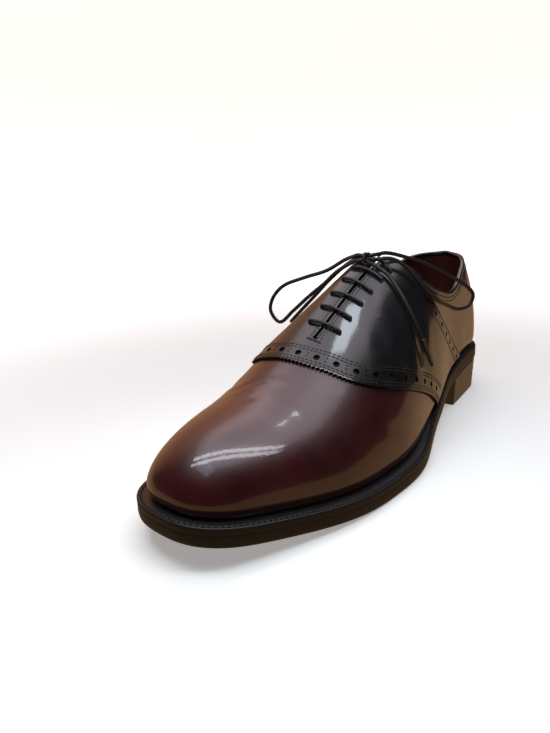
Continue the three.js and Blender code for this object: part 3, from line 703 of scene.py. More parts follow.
def crease_depth(points, creases):
    """How far points in millimetres of the last sink under a set of creases."""
    sink = np.zeros(len(points))
    for crease in creases:
        share, angle = np.array(crease["line"], float).T
        fine = np.linspace(0, len(share) - 1, 40)
        steps = np.arange(len(share))
        line = form_point(np.interp(fine, steps, share), np.interp(fine, steps, angle))
        away = np.linalg.norm(points[:, None, :] - line[None, :, :], axis=2)
        nearest = away.argmin(axis=1)
        away = away[np.arange(len(points)), nearest] / crease["width"]
        fade = np.sin(np.pi * (nearest + 1) / (len(fine) + 1)) ** 0.7
        trough = np.exp(-(away**2)) - 0.45 * np.exp(-((away - 1.9) ** 2) / 0.7)
        sink += crease["depth"] * fade * trough
    return sink


# %% [markdown]
# The upper is the whole oxblood wall: vamp and quarters, which the saddle covers in the
# middle. Both halves are grids over the last, merged along the toe and the back seam. It is
# given the thickness of its outer leather, and the dark red lining is a second, thinner
# shell inside it.

# %% Upper and lining
OUTER_LEATHER = 1.15


def upper_half(side, grow, drop, creases):
    def place(u, v):
        share = (1 - np.cos(np.pi * u)) / 2
        angle = half_angle(share, v, side)
        points = form_point(share, angle, grow)
        points[:, 2] -= drop * np.maximum(1 - v * 12, 0)
        if creases:
            points -= form_normal(np.clip(share, 0.01, 0.99), np.clip(angle, 1, 179)) * crease_depth(
                points, creases
            )[:, None]
        return to_model(points)

    return place


def upper_shell(name, columns, rows, grow, thickness, creases=()):
    halves = [
        panel(name + str(side), columns, rows, upper_half(side, grow, GAP, creases)) for side in (1, -1)
    ]
    return thicken(face_out(joined(name, halves)), thickness)


upper = upper_shell("upper_leather", 240, 64, 0, OUTER_LEATHER, VAMP_CREASES)
finish_piece(upper, OXBLOOD, "vamp_leather", "upper")
lining = upper_shell("upper_lining", 120, 36, -OUTER_LEATHER - 0.05, WALL - OUTER_LEATHER - 0.05)
finish_piece(lining, LINING, "lining_leather", "upper")

# %% [markdown]
# Punches, teeth and stitches follow the edges of the panels at a fixed distance. These
# helpers walk from an edge inwards over the surface, space places evenly along the line,
# and set copies of one small shape on them, joined as one mesh.

# %% Lines beside an edge
def run_of(share, angle, grow):
    """Distance walked along a line over the last, at each of its places."""
    steps = np.linalg.norm(np.diff(form_point(share, angle, grow), axis=0), axis=1)
    return np.r_[0, np.cumsum(steps)]


def spaced(line, spacing, grow, start=0.0, end=0.0):
    """Evenly spaced places along a line of shares and angles."""
    share, angle = line
    run = run_of(share, angle, grow)
    count = max(int(round((run[-1] - start - end) / spacing)), 1)
    at = np.linspace(start, run[-1] - end, count + 1)
    return np.interp(at, run, share), np.interp(at, run, angle)


def beside(line, distance, grow):
    """A line moved to its left over the surface, as seen from outside."""
    share, angle = (np.array(value, float) for value in line)
    steps = max(int(abs(distance) // 1.5) + 1, 1)
    for _ in range(steps):
        tangent = np.gradient(form_point(share, angle, grow), axis=0)
        tangent /= np.linalg.norm(tangent, axis=1, keepdims=True)
        sideways = np.cross(form_normal(share, angle), tangent) * distance / steps
        by_share = (form_point(share + 0.002, angle, grow) - form_point(share - 0.002, angle, grow)) / 0.004
        by_angle = form_point(share, angle + 0.5, grow) - form_point(share, angle - 0.5, grow)
        a, b, c = (by_share**2).sum(1), (by_share * by_angle).sum(1), (by_angle**2).sum(1)
        p, q = (by_share * sideways).sum(1), (by_angle * sideways).sum(1)
        share = share + (p * c - q * b) / (a * c - b * b)
        angle = angle + (q * a - p * b) / (a * c - b * b)
    return share, angle


def stations(line, grow):
    """Places in metres of the model, with the direction along the line and outwards."""
    share, angle = line
    points = form_point(share, angle, grow)
    along = np.gradient(points, axis=0)
    along /= np.linalg.norm(along, axis=1, keepdims=True)
    outward = form_normal(share, angle)
    outward -= (outward * along).sum(1, keepdims=True) * along
    outward /= np.linalg.norm(outward, axis=1, keepdims=True)
    return to_model(points), along, outward


def copies(name, piece, places, along, outward):
    """One mesh of copies of a small piece: its X goes along the line and its Z outwards."""
    mesh = piece.data
    shape = np.array([v.co for v in mesh.vertices])
    faces = [tuple(face.vertices) for face in mesh.polygons]
    across = np.cross(outward, along)
    turned = (
        shape[None, :, 0, None] * along[:, None, :]
        + shape[None, :, 1, None] * across[:, None, :]
        + shape[None, :, 2, None] * outward[:, None, :]
        + places[:, None, :]
    )
    count = len(shape)
    out = bpy.data.meshes.new(name)
    out.from_pydata(
        turned.reshape(-1, 3).tolist(),
        [],
        [tuple(i + k * count for i in face) for k in range(len(places)) for face in faces],
    )
    result = bpy.data.objects.new(name, out)
    bpy.context.collection.objects.link(result)
    return result


def primitive(add, scale=(1, 1, 1), **settings):
    """A primitive with its scale applied, as the start of a small piece."""
    bpy.ops.object.select_all(action="DESELECT")
    add(**settings)
    piece = bpy.context.object
    piece.scale = scale
    bpy.ops.object.transform_apply(location=True, rotation=True, scale=True)
    return piece


STITCH = primitive(
    bpy.ops.mesh.primitive_uv_sphere_add,
    (0.95 * MM, 0.34 * MM, 0.26 * MM),
    segments=8, ring_count=5, radius=1,
)


WELT_STITCH = primitive(
    bpy.ops.mesh.primitive_uv_sphere_add,
    (1.2 * MM, 0.55 * MM, 0.42 * MM),
    segments=8, ring_count=5, radius=1,
)


def stitch_row(name, line, grow, pitch=2.3, start=1.0, end=1.0, lift=0.05):
    """A row of stitches half sunk in the leather."""
    places, along, outward = stations(spaced(line, pitch, grow, start, end), grow)
    return copies(name, STITCH, places + outward * lift * MM, along, outward)


def saddle_line(column, low, high):
    """One edge of the saddle between two angles."""
    angle = np.linspace(low, high, 240)
    return read_table(SADDLE_EDGES, column, np.where(angle <= 90, angle, 180 - angle)), angle


FRONT_LINE = saddle_line("front", 2.5, 177.5)
BACK_LINES = {
    1: saddle_line("back", 4, float(edge_angle(0.405, 1)) - 1.5),
    -1: saddle_line("back", float(edge_angle(0.405, -1)) + 1.5, 176),
}
print("front edge of the saddle:", round(float(run_of(*FRONT_LINE, SADDLE_TOP)[-1])), "mm")

# %% [markdown]
# The saddle lies over the upper. Its front edge is pinked, which means cut into small teeth.
# The panel runs from its back edge to its front edge at every height, and every other row
# of its grid stops short at the front, which gives the teeth. Both edges carry punched
# holes between lines of stitches. They are cut with a boolean, as a punch does.

# %% Saddle panel
SADDLE_THICKNESS = 1.4
TOOTH_PITCH = 2.3
TOOTH_DEPTH = 1.0


def saddle_end(v, side, column):
    """The share at which a line of the saddle reaches its back or front edge."""
    share = np.full_like(v, 0.40 if column == "back" else 0.62)
    for _ in range(80):
        angle = half_angle(share, v, side, SADDLE_EDGE)
        target = read_table(SADDLE_EDGES, column, np.where(angle <= 90, angle, 180 - angle))
        share = 0.5 * share + 0.5 * target
    return share


def saddle_half(name, side):
    rows = np.linspace(0, 1, 400)
    start, stop = saddle_end(rows, side, "back"), saddle_end(rows, side, "front")
    run = run_of(stop, half_angle(stop, rows, side, SADDLE_EDGE), SADDLE_TOP)
    teeth = int(round(run[-1] / TOOTH_PITCH))

    def place(u, v):
        row = np.interp(v * run[-1], run, rows)
        first, last = np.interp(row, rows, start), np.interp(row, rows, stop)
        tooth = np.abs((v * teeth) % 1 * 2 - 1)
        last = last - tooth * TOOTH_DEPTH / LAST_LENGTH * smoothstep(u, 0.955, 1)
        share = first + (last - first) * u
        angle = half_angle(share, row, side, SADDLE_EDGE)
        points = form_point(share, angle, SADDLE_TOP)
        points -= form_normal(share, np.clip(angle, 1, 179)) * crease_depth(points, SADDLE_CREASES)[:, None]
        return to_model(points)

    return panel(name, 100, 2 * teeth, place)


saddle = joined("saddle_leather", [saddle_half("saddle_half" + str(side), side) for side in (1, -1)])
face_out(saddle)
thicken(saddle, SADDLE_THICKNESS)
modify(saddle, "BEVEL", width=0.28 * MM, segments=2, limit_method="ANGLE", angle_limit=math.radians(62))
print("saddle panel:", len(saddle.data.polygons), "faces")

# %% Punched holes
PUNCH_RADIUS = 1.7
PIN_RADIUS = 0.45
punch = primitive(bpy.ops.mesh.primitive_cylinder_add, vertices=14, radius=PUNCH_RADIUS * MM, depth=5 * MM)
pin = primitive(bpy.ops.mesh.primitive_cylinder_add, vertices=8, radius=PIN_RADIUS * MM, depth=5 * MM)
disc = primitive(
    bpy.ops.mesh.primitive_cylinder_add, vertices=14, radius=(PUNCH_RADIUS + 0.3) * MM, depth=0.1 * MM
)
dark_discs_for_shade = []


def punched_row(name, line, distance, spacing, start, end, pins=True):
    """Cutters along an edge: large holes, and a pair of pinholes between each two."""
    row = beside(line, distance, SADDLE_TOP)
    large = spaced(row, spacing, SADDLE_TOP, start, end)
    cutters = [copies(name, punch, *stations(large, SADDLE_TOP))]
    # Near-black discs under the large holes hide the oxblood upper there: painted shade in the holes.
    dark_discs_for_shade.append(copies(name + "_backing", disc, *stations(large, 0.13)))
    if pins:
        between = ((large[0][1:] + large[0][:-1]) / 2, (large[1][1:] + large[1][:-1]) / 2)
        for away in (-1.05, 1.05):
            places, along, outward = stations(between, SADDLE_TOP)
            across = np.cross(outward, along)
            cutters.append(copies(name + "_pins", pin, places + across * away * MM, along, outward))
    return cutters


cutters = punched_row("front_holes", FRONT_LINE, -6.3, 10.6, 10, 4)
for line in BACK_LINES.values():
    cutters += punched_row("back_holes", line, 5.2, 10.6, 5, 5)
holes = joined("punches", cutters, merge=0.0001)
# The cut walls of the holes take this painted shade from the cutters.
holes.data.materials.append(PAINTED_HOLE_SHADE)
saddle.data.materials.append(BLACK)
modify(saddle, "BOOLEAN", operation="DIFFERENCE", object=holes, solver="MANIFOLD", material_mode="TRANSFER")
bpy.data.objects.remove(holes)
finish_piece(saddle, BLACK, "saddle_leather", "saddle", smooth=35)
# The discs under the holes carry the painted shade.
finish_piece(joined("hole_backing", dark_discs_for_shade, merge=0.0001), PAINTED_HOLE_SHADE, "saddle_leather")

# %% [markdown]
# Rows of black stitches hold the saddle down: two close rows along the pinked edge, two
# more behind the holes, and one on each side of the narrow strip at its back.

# %% Stitches of the saddle
rows = [
    stitch_row("front_row", beside(FRONT_LINE, -distance, SADDLE_TOP), SADDLE_TOP)
    for distance in (1.9, 3.4, 9.6, 11.2)
]
rows += [
    stitch_row("back_row", beside(line, distance, SADDLE_TOP), SADDLE_TOP)
    for distance in (1.3, 8.8)
    for line in BACK_LINES.values()
]
saddle_stitches = joined("saddle_stitches", rows, merge=0.0001)
finish_piece(saddle_stitches, THREAD, "saddle_leather")

# %% [markdown]
# The collar is bound with a thin strip of leather that wraps the cut edge. It is a small
# rounded section swept along the top line, from the throat round the heel and back.

# %% Collar binding
def swept(name, path, along, outward, across, profile):
    """A closed section swept along a path. Its first number goes outwards, its second across."""
    ring = np.array(profile, float) * MM

    def place(u, v):
        i = np.rint(u * (len(path) - 1)).astype(int)
        k = np.rint(v * len(ring)).astype(int) % len(ring)
        return path[i] + outward[i] * ring[k, :1] + across[i] * ring[k, 1:]

    piece = panel(name, len(path) - 1, len(ring), place)
    only(piece)
    bpy.ops.object.mode_set(mode="EDIT")
    bpy.ops.mesh.select_all(action="SELECT")
    bpy.ops.mesh.remove_doubles(threshold=0.001 * MM)
    bpy.ops.mesh.fill_holes(sides=0)
    bpy.ops.mesh.normals_make_consistent(inside=False)
    bpy.ops.object.mode_set(mode="OBJECT")
    return piece


def rounded(out, across, power=2.5, count=12, shift=0.0):
    """A rounded section of given half sizes."""
    turn = np.arange(count) * 2 * np.pi / count
    c, s = np.cos(turn), np.sin(turn)
    return np.c_[
        shift + out * np.sign(c) * np.abs(c) ** (2 / power), across * np.sign(s) * np.abs(s) ** (2 / power)
    ]


meets = (EDGE_SHARES > 0.38) & (SADDLE_EDGE[1] < collar_angle(EDGE_SHARES, 1) - 0.01)
COLLAR_FRONT = float(EDGE_SHARES[np.argmax(meets)])
turns = np.linspace(math.acos(1 - 2 * COLLAR_FRONT), 0, 140)
shares = (1 - np.cos(turns)) / 2
COLLAR_LINE = (
    np.r_[shares, shares[-2::-1]],
    np.r_[edge_angle(shares, 1, SADDLE_EDGE), edge_angle(shares[-2::-1], -1, SADDLE_EDGE)],
)
collar_path = form_point(*COLLAR_LINE, -WALL / 2)
along = np.gradient(collar_path, axis=0)
along /= np.linalg.norm(along, axis=1, keepdims=True)
outward = form_normal(np.clip(COLLAR_LINE[0], 0.004, 1), COLLAR_LINE[1])
across = np.cross(outward, along)
across /= np.linalg.norm(across, axis=1, keepdims=True)
binding = swept("collar_binding", to_model(collar_path), along, outward, across, rounded(1.6, 1.8))
finish_piece(binding, BLACK, "vamp_leather")
print("collar from share", round(COLLAR_FRONT, 3))

# %% [markdown]
# Tongue, sock and back tab are single sheets. The tongue lies under the throat, deeper than
# the lining by the room that the lace needs. The sock covers the insole inside the shoe, and
# the tab sits over the back seam at the collar.

# %% Tongue
LACE_ROOM = WALL + 5 * GAP + LACE_DIAMETER
TONGUE = {"top": 0.436, "bottom": 0.69, "half_width": 24, "seat": (0.655, 0.685)}


def tongue_place(u, v):
    share = TONGUE["top"] + (TONGUE["bottom"] - TONGUE["top"]) * u
    deep = LACE_ROOM + (WALL + 2 * GAP - LACE_ROOM) * smoothstep(share, *TONGUE["seat"])
    width = TONGUE["half_width"] * (1 - 0.45 * np.maximum(1 - u / 0.10, 0) ** 2)
    angle = angle_at(share, throat_side(share) + width * (1 - 2 * v), -deep)
    return to_model(form_point(share, angle, -deep))


tongue = thicken(face_out(panel("tongue_leather", 60, 36, tongue_place)), 1.7)
modify(tongue, "BEVEL", width=0.35 * MM, segments=2, limit_method="ANGLE", angle_limit=math.radians(60))
finish_piece(tongue, BLACK, "saddle_leather", "tongue")

# %% Sock and back tab
INSOLE_THICKNESS = 3.5
SOCK_THICKNESS = 1.0


def sock_place(u, v):
    share = 0.008 + 0.984 * (1 - np.cos(np.pi * u)) / 2
    _, _, _, rise, full = section(share, -WALL)
    low = np.degrees(np.arcsin(np.clip((4.6 / np.maximum(rise, 5)) ** (full / 2), 0, 1)))
    outer, inner = form_point(share, low, -WALL - 0.7), form_point(share, 180 - low, -WALL - 0.7)
    flat = inner + (outer - inner) * v[:, None]
    flat[:, 2] = welt_top(share_of(flat[:, 1])) + GAP + INSOLE_THICKNESS + SOCK_THICKNESS
    return to_model(flat)


sock = face_out(panel("sock_leather", 90, 24, sock_place), 0)
thicken(sock, SOCK_THICKNESS - 0.05)
finish_piece(sock, LINING, "lining_leather")

TAB = {"half_width": 10.6, "height": 14.5, "out": 1.6}


def tab_place(u, v):
    height = QUARTER_HEIGHT - 0.4 - TAB["height"] * v
    reach = 1 - 0.16 * np.maximum((v - 0.78) / 0.22, 0) ** 2
    across = TAB["half_width"] * (2 * u - 1) * reach
    _, _, _, rise, full = section(np.full_like(u, 0.02), TAB["out"])
    angle = np.degrees(np.arcsin((height / rise) ** (full / 2)))
    half = read_table(LAST, "half", 0) * BALL_WIDTH * np.cos(np.radians(angle)) ** (2 / full)
    narrow = np.clip(np.abs(across) / half, 0, 1)
    share = HEEL_ROUND * (1 - np.sqrt(1 - narrow**2))
    return to_model(form_point(share, np.where(across > 0, angle, 180 - angle), TAB["out"]))


tab = face_out(panel("back_tab_leather", 40, 20, tab_place))
modify(tab, "SOLIDIFY", thickness=1.3 * MM, offset=-1)
finish_piece(tab, BLACK, "saddle_leather", "back_tab")

# %% [markdown]
# The laced bars lie on the saddle: each comes up through one eyelet, crosses the throat and
# goes down through the other. The knot is a short wrap round the cords that leave it, and
# each end carries a stiff tip. All of these are round tubes along a list of places.

# %% Tubes
def tube(name, points, radii, sides=12):
    """A round tube along points in metres, with a radius in millimetres at each."""
    points = np.array(points, float)
    radii = np.broadcast_to(np.asarray(radii, float), len(points)) * MM
    along = np.gradient(points, axis=0)
    along /= np.linalg.norm(along, axis=1, keepdims=True)
    side = np.cross(along[0], (0.1, 0.2, 1.0))
    sides_along = []
    for step in along:
        side = side - step * (side @ step)
        side /= np.linalg.norm(side)
        sides_along.append(side)
    first = np.array(sides_along)
    second = np.cross(along, first)

    def place(u, v):
        i = np.rint(u * (len(points) - 1)).astype(int)
        turn = (2 * np.pi * v)[:, None]
        return points[i] + radii[i, None] * (np.cos(turn) * first[i] + np.sin(turn) * second[i])

    piece = panel(name, len(points) - 1, sides, place)
    only(piece)
    bpy.ops.object.mode_set(mode="EDIT")
    bpy.ops.mesh.select_all(action="SELECT")
    bpy.ops.mesh.remove_doubles(threshold=0.002 * MM)
    bpy.ops.mesh.fill_holes(sides=0)
    bpy.ops.mesh.normals_make_consistent(inside=False)
    bpy.ops.object.mode_set(mode="OBJECT")
    return piece


# %% Laced bars
EYELET_ROWS = 6
EYELET_MARGIN = 9
EYELET_STEP = 9.7
EYELET_SPREAD = 8.8
LACE_RADIUS = LACE_DIAMETER / 2
BAR_RADIUS = 0.93
BAR_HEIGHT = SADDLE_TOP + BAR_RADIUS
rows = [(THROAT_FOOT - EYELET_MARGIN - row * EYELET_STEP) / LAST_LENGTH for row in range(EYELET_ROWS)]
parts = []
for row, share in enumerate(rows):
    middle = float(throat_side(share))
    steps = np.linspace(-1, 1, 37)
    if row == EYELET_ROWS - 1:
        halves = [steps[steps < -0.2], steps[steps > 0.2]]
    else:
        halves = [steps]
    for part in halves:
        away = np.sign(part) * np.minimum(np.abs(part) * 1.22, 1) * EYELET_SPREAD
        sink = smoothstep(np.abs(part), 0.80, 1.0) * 4.2
        arch = 0.35 + 0.35 * np.cos(part * np.pi / 2)
        angle = angle_at(share, middle + away, 0)
        lean = 0.9 * part / LAST_LENGTH
        points = form_point(share + lean * np.where(row % 2, 1, -1) * 0.4, angle, BAR_HEIGHT + arch - sink)
        parts.append(tube("bar", to_model(points), BAR_RADIUS))
for side in (-1, 1):
    spots = [form_point([s], angle_at(s, throat_side(s) + side * EYELET_SPREAD), -LACE_ROOM + 2.2)[0] for s in rows]
    parts.append(tube("run", to_model(route_points(spots)), LACE_RADIUS * 0.95))
bars = joined("laced_bars", parts, merge=0.0001)
finish_piece(bars, LACE, "lace_cord", "lace_bars")

# %% Knot and tips
centre = np.array(KNOT, float)
turn = np.linspace(0, 2 * np.pi * 1.35, 44)
wrap = np.c_[
    centre[0] - 1.3 + 2.4 * turn / turn[-1], centre[1] + 2.25 * np.cos(turn), centre[2] + 2.0 * np.sin(turn)
]
knot_parts = [tube("wrap", to_model(wrap), LACE_RADIUS)]
for name, start in (("lace_loop_outer", (0, -1)), ("lace_loop_inner", (0, -1)), ("lace_end_outer", (0,)),
                    ("lace_end_inner", (0,))):
    for end in start:
        mouth = np.array(LACE_ROUTES[name][end], float)
        nearer = centre + (mouth - centre) * np.array([0.1, 0.25, 0.35])
        bend = centre + (mouth - centre) * np.array([0.55, 0.8, 0.8])
        knot_parts.append(tube("strand", to_model(route_points([nearer, bend, mouth])), LACE_RADIUS))
knot = joined("bow_knot", knot_parts, merge=0.0001)
finish_piece(knot, LACE, "lace_cord", "lace_knot")

tips = {}
for name, tip in AGLET_TIPS.items():
    end = np.array(LACE_ROUTES[name.replace("aglet", "lace_end")][-1], float)
    way = (np.array(tip, float) - end) / np.linalg.norm(np.array(tip, float) - end)
    at = np.array([GAP - 0.2, GAP, 1.2, 1.6, 4, 8, 12, AGLET_LENGTH - 1.2, AGLET_LENGTH - 0.3, AGLET_LENGTH])
    radii = AGLET_DIAMETER / 2 * np.array([0.80, 0.96, 1.0, 0.90, 0.86, 0.84, 0.82, 0.78, 0.62, 0.3])
    tips[name] = tube(name + "_tip", to_model(end + way * at[:, None]), radii, 16)
    finish_piece(tips[name], TIP, "lace_tip", name)

# %% [markdown]
# The loops and ends were made first. Now they get their finish, and the solids that they
# stand for are hidden.

# %% Free lace
for name, piece in free_lace.items():
    points = to_model(route_points(LACE_ROUTES[name]))
    finish_piece(piece, LACE, "lace_cord", name)

# %% Stitches of throat and collar
def throat_row(name, distance, first=0.452, last=0.668):
    share = np.linspace(first, last, 60)
    return stitch_row(name, (share, angle_at(share, throat_side(share) + distance)), SADDLE_TOP)


rows = [throat_row("throat_row", distance) for distance in (-2.9, 2.9)]
tack_share = np.full(9, 0.667)
tack_angle = np.linspace(float(angle_at(0.667, throat_side(0.667) + 3.4)), float(angle_at(0.667, throat_side(0.667) - 3.4)), 9)
places, along, outward = stations((tack_share, tack_angle), SADDLE_TOP + 0.15)
rows.append(copies("bar_tack", STITCH, places, np.cross(outward, along), outward))
rows.append(copies("bar_tack", STITCH, places + outward * 0.1 * MM, along, outward))
throat_stitches = joined("throat_stitches", rows, merge=0.0001)
finish_piece(throat_stitches, THREAD, "saddle_leather")

share = np.linspace(0.449, 0.662, 70)
edges = []
for side in (-1, 1):
    angle = angle_at(share, throat_side(share) + side * (THROAT_SLIT / 2 + 0.1), SADDLE_TOP)
    edges.append(tube("facing_edge", to_model(form_point(share, angle, SADDLE_TOP - 0.05)), 0.5, 10))
facing_edges = joined("facing_edges", edges, merge=0.0001)
finish_piece(facing_edges, BLACK, "saddle_leather")

rows = []
for distance in (2.6, 4.6):
    for side in (1, -1):
        share = (1 - np.cos(np.linspace(0.02, math.acos(1 - 2 * 0.40), 160))) / 2
        line = (share, edge_angle(share, side))
        rows.append(stitch_row("collar_row", beside(line, distance * side, 0), 0, pitch=2.0))
collar_stitches = joined("collar_stitches", rows, merge=0.0001)
finish_piece(collar_stitches, THREAD, "vamp_leather")

# %% [markdown]
# Welt, outsole and heel all follow the feather outline. One helper sweeps a section round
# that outline: each row of the section is pushed out or in from the welt's edge and up or
# down from a level, and a solid piece is closed by rows that run in to the middle line.

# %% Sweep round the sole
def outline_place(turn, out, hub):
    """Points of the outline: pushed out beyond the welt's edge, or drawn in to the middle."""
    share = (1 - np.cos(turn)) / 2
    side = np.where(turn >= 0, 1, -1)
    outer, inner, _, _, _ = section(share, 0)
    normal_x, normal_y = outline_normal(share, side)
    lean = smoothstep(normal_x, -0.6, 0.6)
    reach = welt_reach(share, -1) * (1 - lean) + welt_reach(share, 1) * lean + out
    x = np.where(side > 0, outer, inner) + normal_x * reach
    y = (0.5 - share) * LAST_LENGTH + normal_y * reach
    return x + ((outer + inner) / 2 - x) * hub, y + ((0.5 - share) * LAST_LENGTH - y) * hub


def round_sole(name, section_rows, level, columns=320, end_share=1.0, closed=False):
    """A section of rows (out, up, hub) swept round the outline, standing on a level."""
    rows = np.array(section_rows, float)
    end = math.acos(1 - 2 * end_share)
    last_row = len(rows) if closed else len(rows) - 1

    def place(u, v):
        row = rows[np.rint(v * last_row).astype(int) % len(rows)]
        x, y = outline_place(end - 2 * end * u, row[:, 0], row[:, 2])
        return to_model(np.c_[x, y, level(share_of(y), row[:, 1])])

    piece = panel(name, columns, last_row, place)
    only(piece)
    bpy.ops.object.mode_set(mode="EDIT")
    bpy.ops.mesh.select_all(action="SELECT")
    bpy.ops.mesh.remove_doubles(threshold=0.02 * MM)
    bpy.ops.mesh.fill_holes(sides=0)
    bpy.ops.mesh.normals_make_consistent(inside=False)
    bpy.ops.object.mode_set(mode="OBJECT")
    return piece


def over_sole(share, up):
    return sole_height(share) + up


WELT_BASE = SOLE_THICKNESS + GAP
SOLE_TOP = SOLE_THICKNESS + GAP / 2
welt = round_sole(
    "welt_strip",
    [
        (-12.5, WELT_BASE, 0), (-0.3, WELT_BASE, 0), (-0.02, WELT_BASE, 0), (0, WELT_BASE + 0.05, 0),
        (0.05, WELT_BASE + 1.6, 0), (0, WELT_BASE + 2.5, 0), (-0.2, WELT_BASE + 3.05, 0),
        (-0.6, WELT_BASE + 3.3, 0), (-1.0, WELT_BASE + 3.3, 0), (-1.3, WELT_BASE + 3.1, 0),
        (-2.4, WELT_BASE + 3.05, 0), (-2.9, WELT_BASE + 3.25, 0), (-12.5, WELT_BASE + 3.25, 0),
    ],
    over_sole, closed=True,
)
welt.data.materials.append(WELT_EDGE)
welt.data.materials.append(SOLE_EDGE)
for face in welt.data.polygons:
    face.material_index = int(abs(face.normal.z) < 0.5)
finish_piece(welt, WELT_EDGE, "edge_leather", "welt", smooth=50)

turns = np.linspace(math.pi, -math.pi, 2400)
x, y = outline_place(turns, -1.85, 0)
path = np.c_[x, y, over_sole(share_of(y), WELT_BASE + 3.2)]
run = np.r_[0, np.cumsum(np.linalg.norm(np.diff(path, axis=0), axis=1))]
at = np.arange(0, run[-1] - 1, 2.55)
places = np.stack([np.interp(at, run, path[:, k]) for k in range(3)], axis=1)
along = np.stack([np.interp(at + 0.5, run, path[:, k]) for k in range(3)], axis=1) - places
along /= np.linalg.norm(along, axis=1, keepdims=True)
outward = np.tile((0.0, 0.0, 1.0), (len(at), 1))
outward -= (outward * along).sum(1, keepdims=True) * along
welt_stitches = copies("welt_stitches", WELT_STITCH, to_model(places), along, outward)
# The welt stitches carry partly painted pit shade.
finish_piece(welt_stitches, WELT_THREAD_AND_PIT_SHADE, "edge_leather")

outsole = round_sole(
    "outsole_leather",
    [
        (0, 0, 1), (0, 0, 0.7), (0, 0, 0.4), (-6, 0, 0), (-1.3, 0, 0), (-0.55, 0.2, 0), (-0.15, 0.75, 0),
        (0, 1.6, 0), (0.1, 2.9, 0), (0.05, 4.6, 0), (0, SOLE_TOP - 0.05, 0), (-0.02, SOLE_TOP, 0),
        (-8, SOLE_TOP, 0), (0, SOLE_TOP, 0.5), (0, SOLE_TOP, 1),
    ],
    over_sole,
)
outsole.data.materials.append(SOLE_EDGE)
outsole.data.materials.append(SOLE_UNDER)
for face in outsole.data.polygons:
    face.material_index = int(face.normal.z < -0.8)
finish_piece(outsole, SOLE_EDGE, "sole_leather", "outsole", smooth=50)


def heel_level(share, part):
    return part * (sole_height(share) - GAP)


heel_rows = [(0, 0, 1), (-8, 0, 0), (-1.5, 0, 0), (-1.1, 0.02, 0)]
for low, high in ((0.03, 0.27), (0.30, 0.51), (0.53, 0.74), (0.76, 0.97)):
    edge = -1.15 + 0.85 * low
    heel_rows += [(edge - 0.05, low, 0), (edge + 0.05, (low + high) / 2, 0), (edge - 0.02, high, 0)]
    heel_rows += [(edge - 0.22, high + 0.012, 0)]
heel_rows += [(-1.0, 1, 0), (-8, 1, 0), (0, 1, 1)]
heel = round_sole("heel_block", heel_rows, heel_level, 160, HEEL_LENGTH / LAST_LENGTH)
# The heel's finish is partly a painted tan sheen.
finish_piece(heel, HEEL_EDGE_WITH_SHEEN, "edge_leather", "heel", smooth=35)

# %% [markdown]
# The stage is a sheet of pale studio paper: a flat disc under the shoe that rises in a wide
# curve all round it, so that every view has a plain background. Far from the shoe the paper
# glows a little, which hides the line where it starts to rise. Only the camera sees it: the
# reflections in the leather come from the studio's light, which the last step makes.

# %% Floor and backdrop
PAPER = {"flat": 2400, "bend": 900, "wall": 2600}
PAPER_GLOW = {"from": 0.15, "to": 0.75, "low": 0.32, "high": 0.85}


def paper_place(u, v):
    """Round paper: u runs out from the middle, v round it."""
    run = u * (PAPER["flat"] + PAPER["bend"] * math.pi / 2 + PAPER["wall"])
    turn = np.clip((run - PAPER["flat"]) / PAPER["bend"], 0, math.pi / 2)
    out = np.minimum(run, PAPER["flat"]) + PAPER["bend"] * np.sin(turn)
    up = PAPER["bend"] * (1 - np.cos(turn))
    up += np.maximum(run - PAPER["flat"] - PAPER["bend"] * math.pi / 2, 0)
    heading = 2 * np.pi * v
    return np.c_[out * np.cos(heading), out * np.sin(heading), up - 0.05] * MM


floor = face_out(joined("floor", [panel("floor", 60, 96, paper_place)]), 3000)
paper = plain_finish("pale_paper", (0.86, 0.93, 0.89), 0.8, scale=30.0, vary=0.98)
shader = paper.node_tree.nodes["Principled BSDF"]
shader.inputs["Emission Color"].default_value = (1, 1, 1, 1)
where = paper.node_tree.nodes.new("ShaderNodeTexCoord")
distance = paper.node_tree.nodes.new("ShaderNodeVectorMath")
distance.operation = "LENGTH"
paper.node_tree.links.new(where.outputs["Object"], distance.inputs[0])
glow = paper.node_tree.nodes.new("ShaderNodeMapRange")
glow.interpolation_type = "SMOOTHSTEP"
glow.inputs["From Min"].default_value = PAPER_GLOW["from"]
glow.inputs["From Max"].default_value = PAPER_GLOW["to"]
glow.inputs["To Min"].default_value = PAPER_GLOW["low"]
glow.inputs["To Max"].default_value = PAPER_GLOW["high"]
paper.node_tree.links.new(distance.outputs["Value"], glow.inputs["Value"])
paper.node_tree.links.new(glow.outputs["Result"], shader.inputs["Emission Strength"])
floor.data.materials.append(paper)
only(floor)
bpy.ops.object.shade_smooth()
floor.visible_glossy = floor.visible_diffuse = floor.visible_shadow = False

CAD_FINISHES = {"insole": LINING}
for name, finish in CAD_FINISHES.items():
    bpy.data.objects[name].data.materials.clear()
    bpy.data.objects[name].data.materials.append(finish)
for piece in (STITCH, WELT_STITCH, punch, pin, disc):
    bpy.data.objects.remove(piece)

# %% [markdown]
# Light

# %% Lights
bpy.context.scene.view_settings.view_transform = "Standard"
FLOOR_GLOW = (0.43, 0.268, 0.148)
SIDE_GLOW = (0.56, 0.26, 0.12)
SKY_AXIS = Vector((-0.09, 0.30, 0.95)).normalized()
SIDE_AXIS = Vector((-0.85, 0.35, 0.40)).normalized()
SKY_STEPS = [
    (0.60, (0.02, 0.02, 0.025)), (0.70, (0.06, 0.055, 0.06)), (0.78, (0.18, 0.15, 0.16)),
    (0.855, (1.1, 0.98, 1.08)), (0.90, (1.6, 1.42, 1.56)), (1.0, (1.35, 1.22, 1.35)),
]
world = bpy.data.worlds.new("studio")
bpy.context.scene.world = world
world.use_nodes = True
sky = world.node_tree


def sky_node(kind, **settings):
    node = sky.nodes.new(kind)
    for key, value in settings.items():
        setattr(node, key, value)
    return node


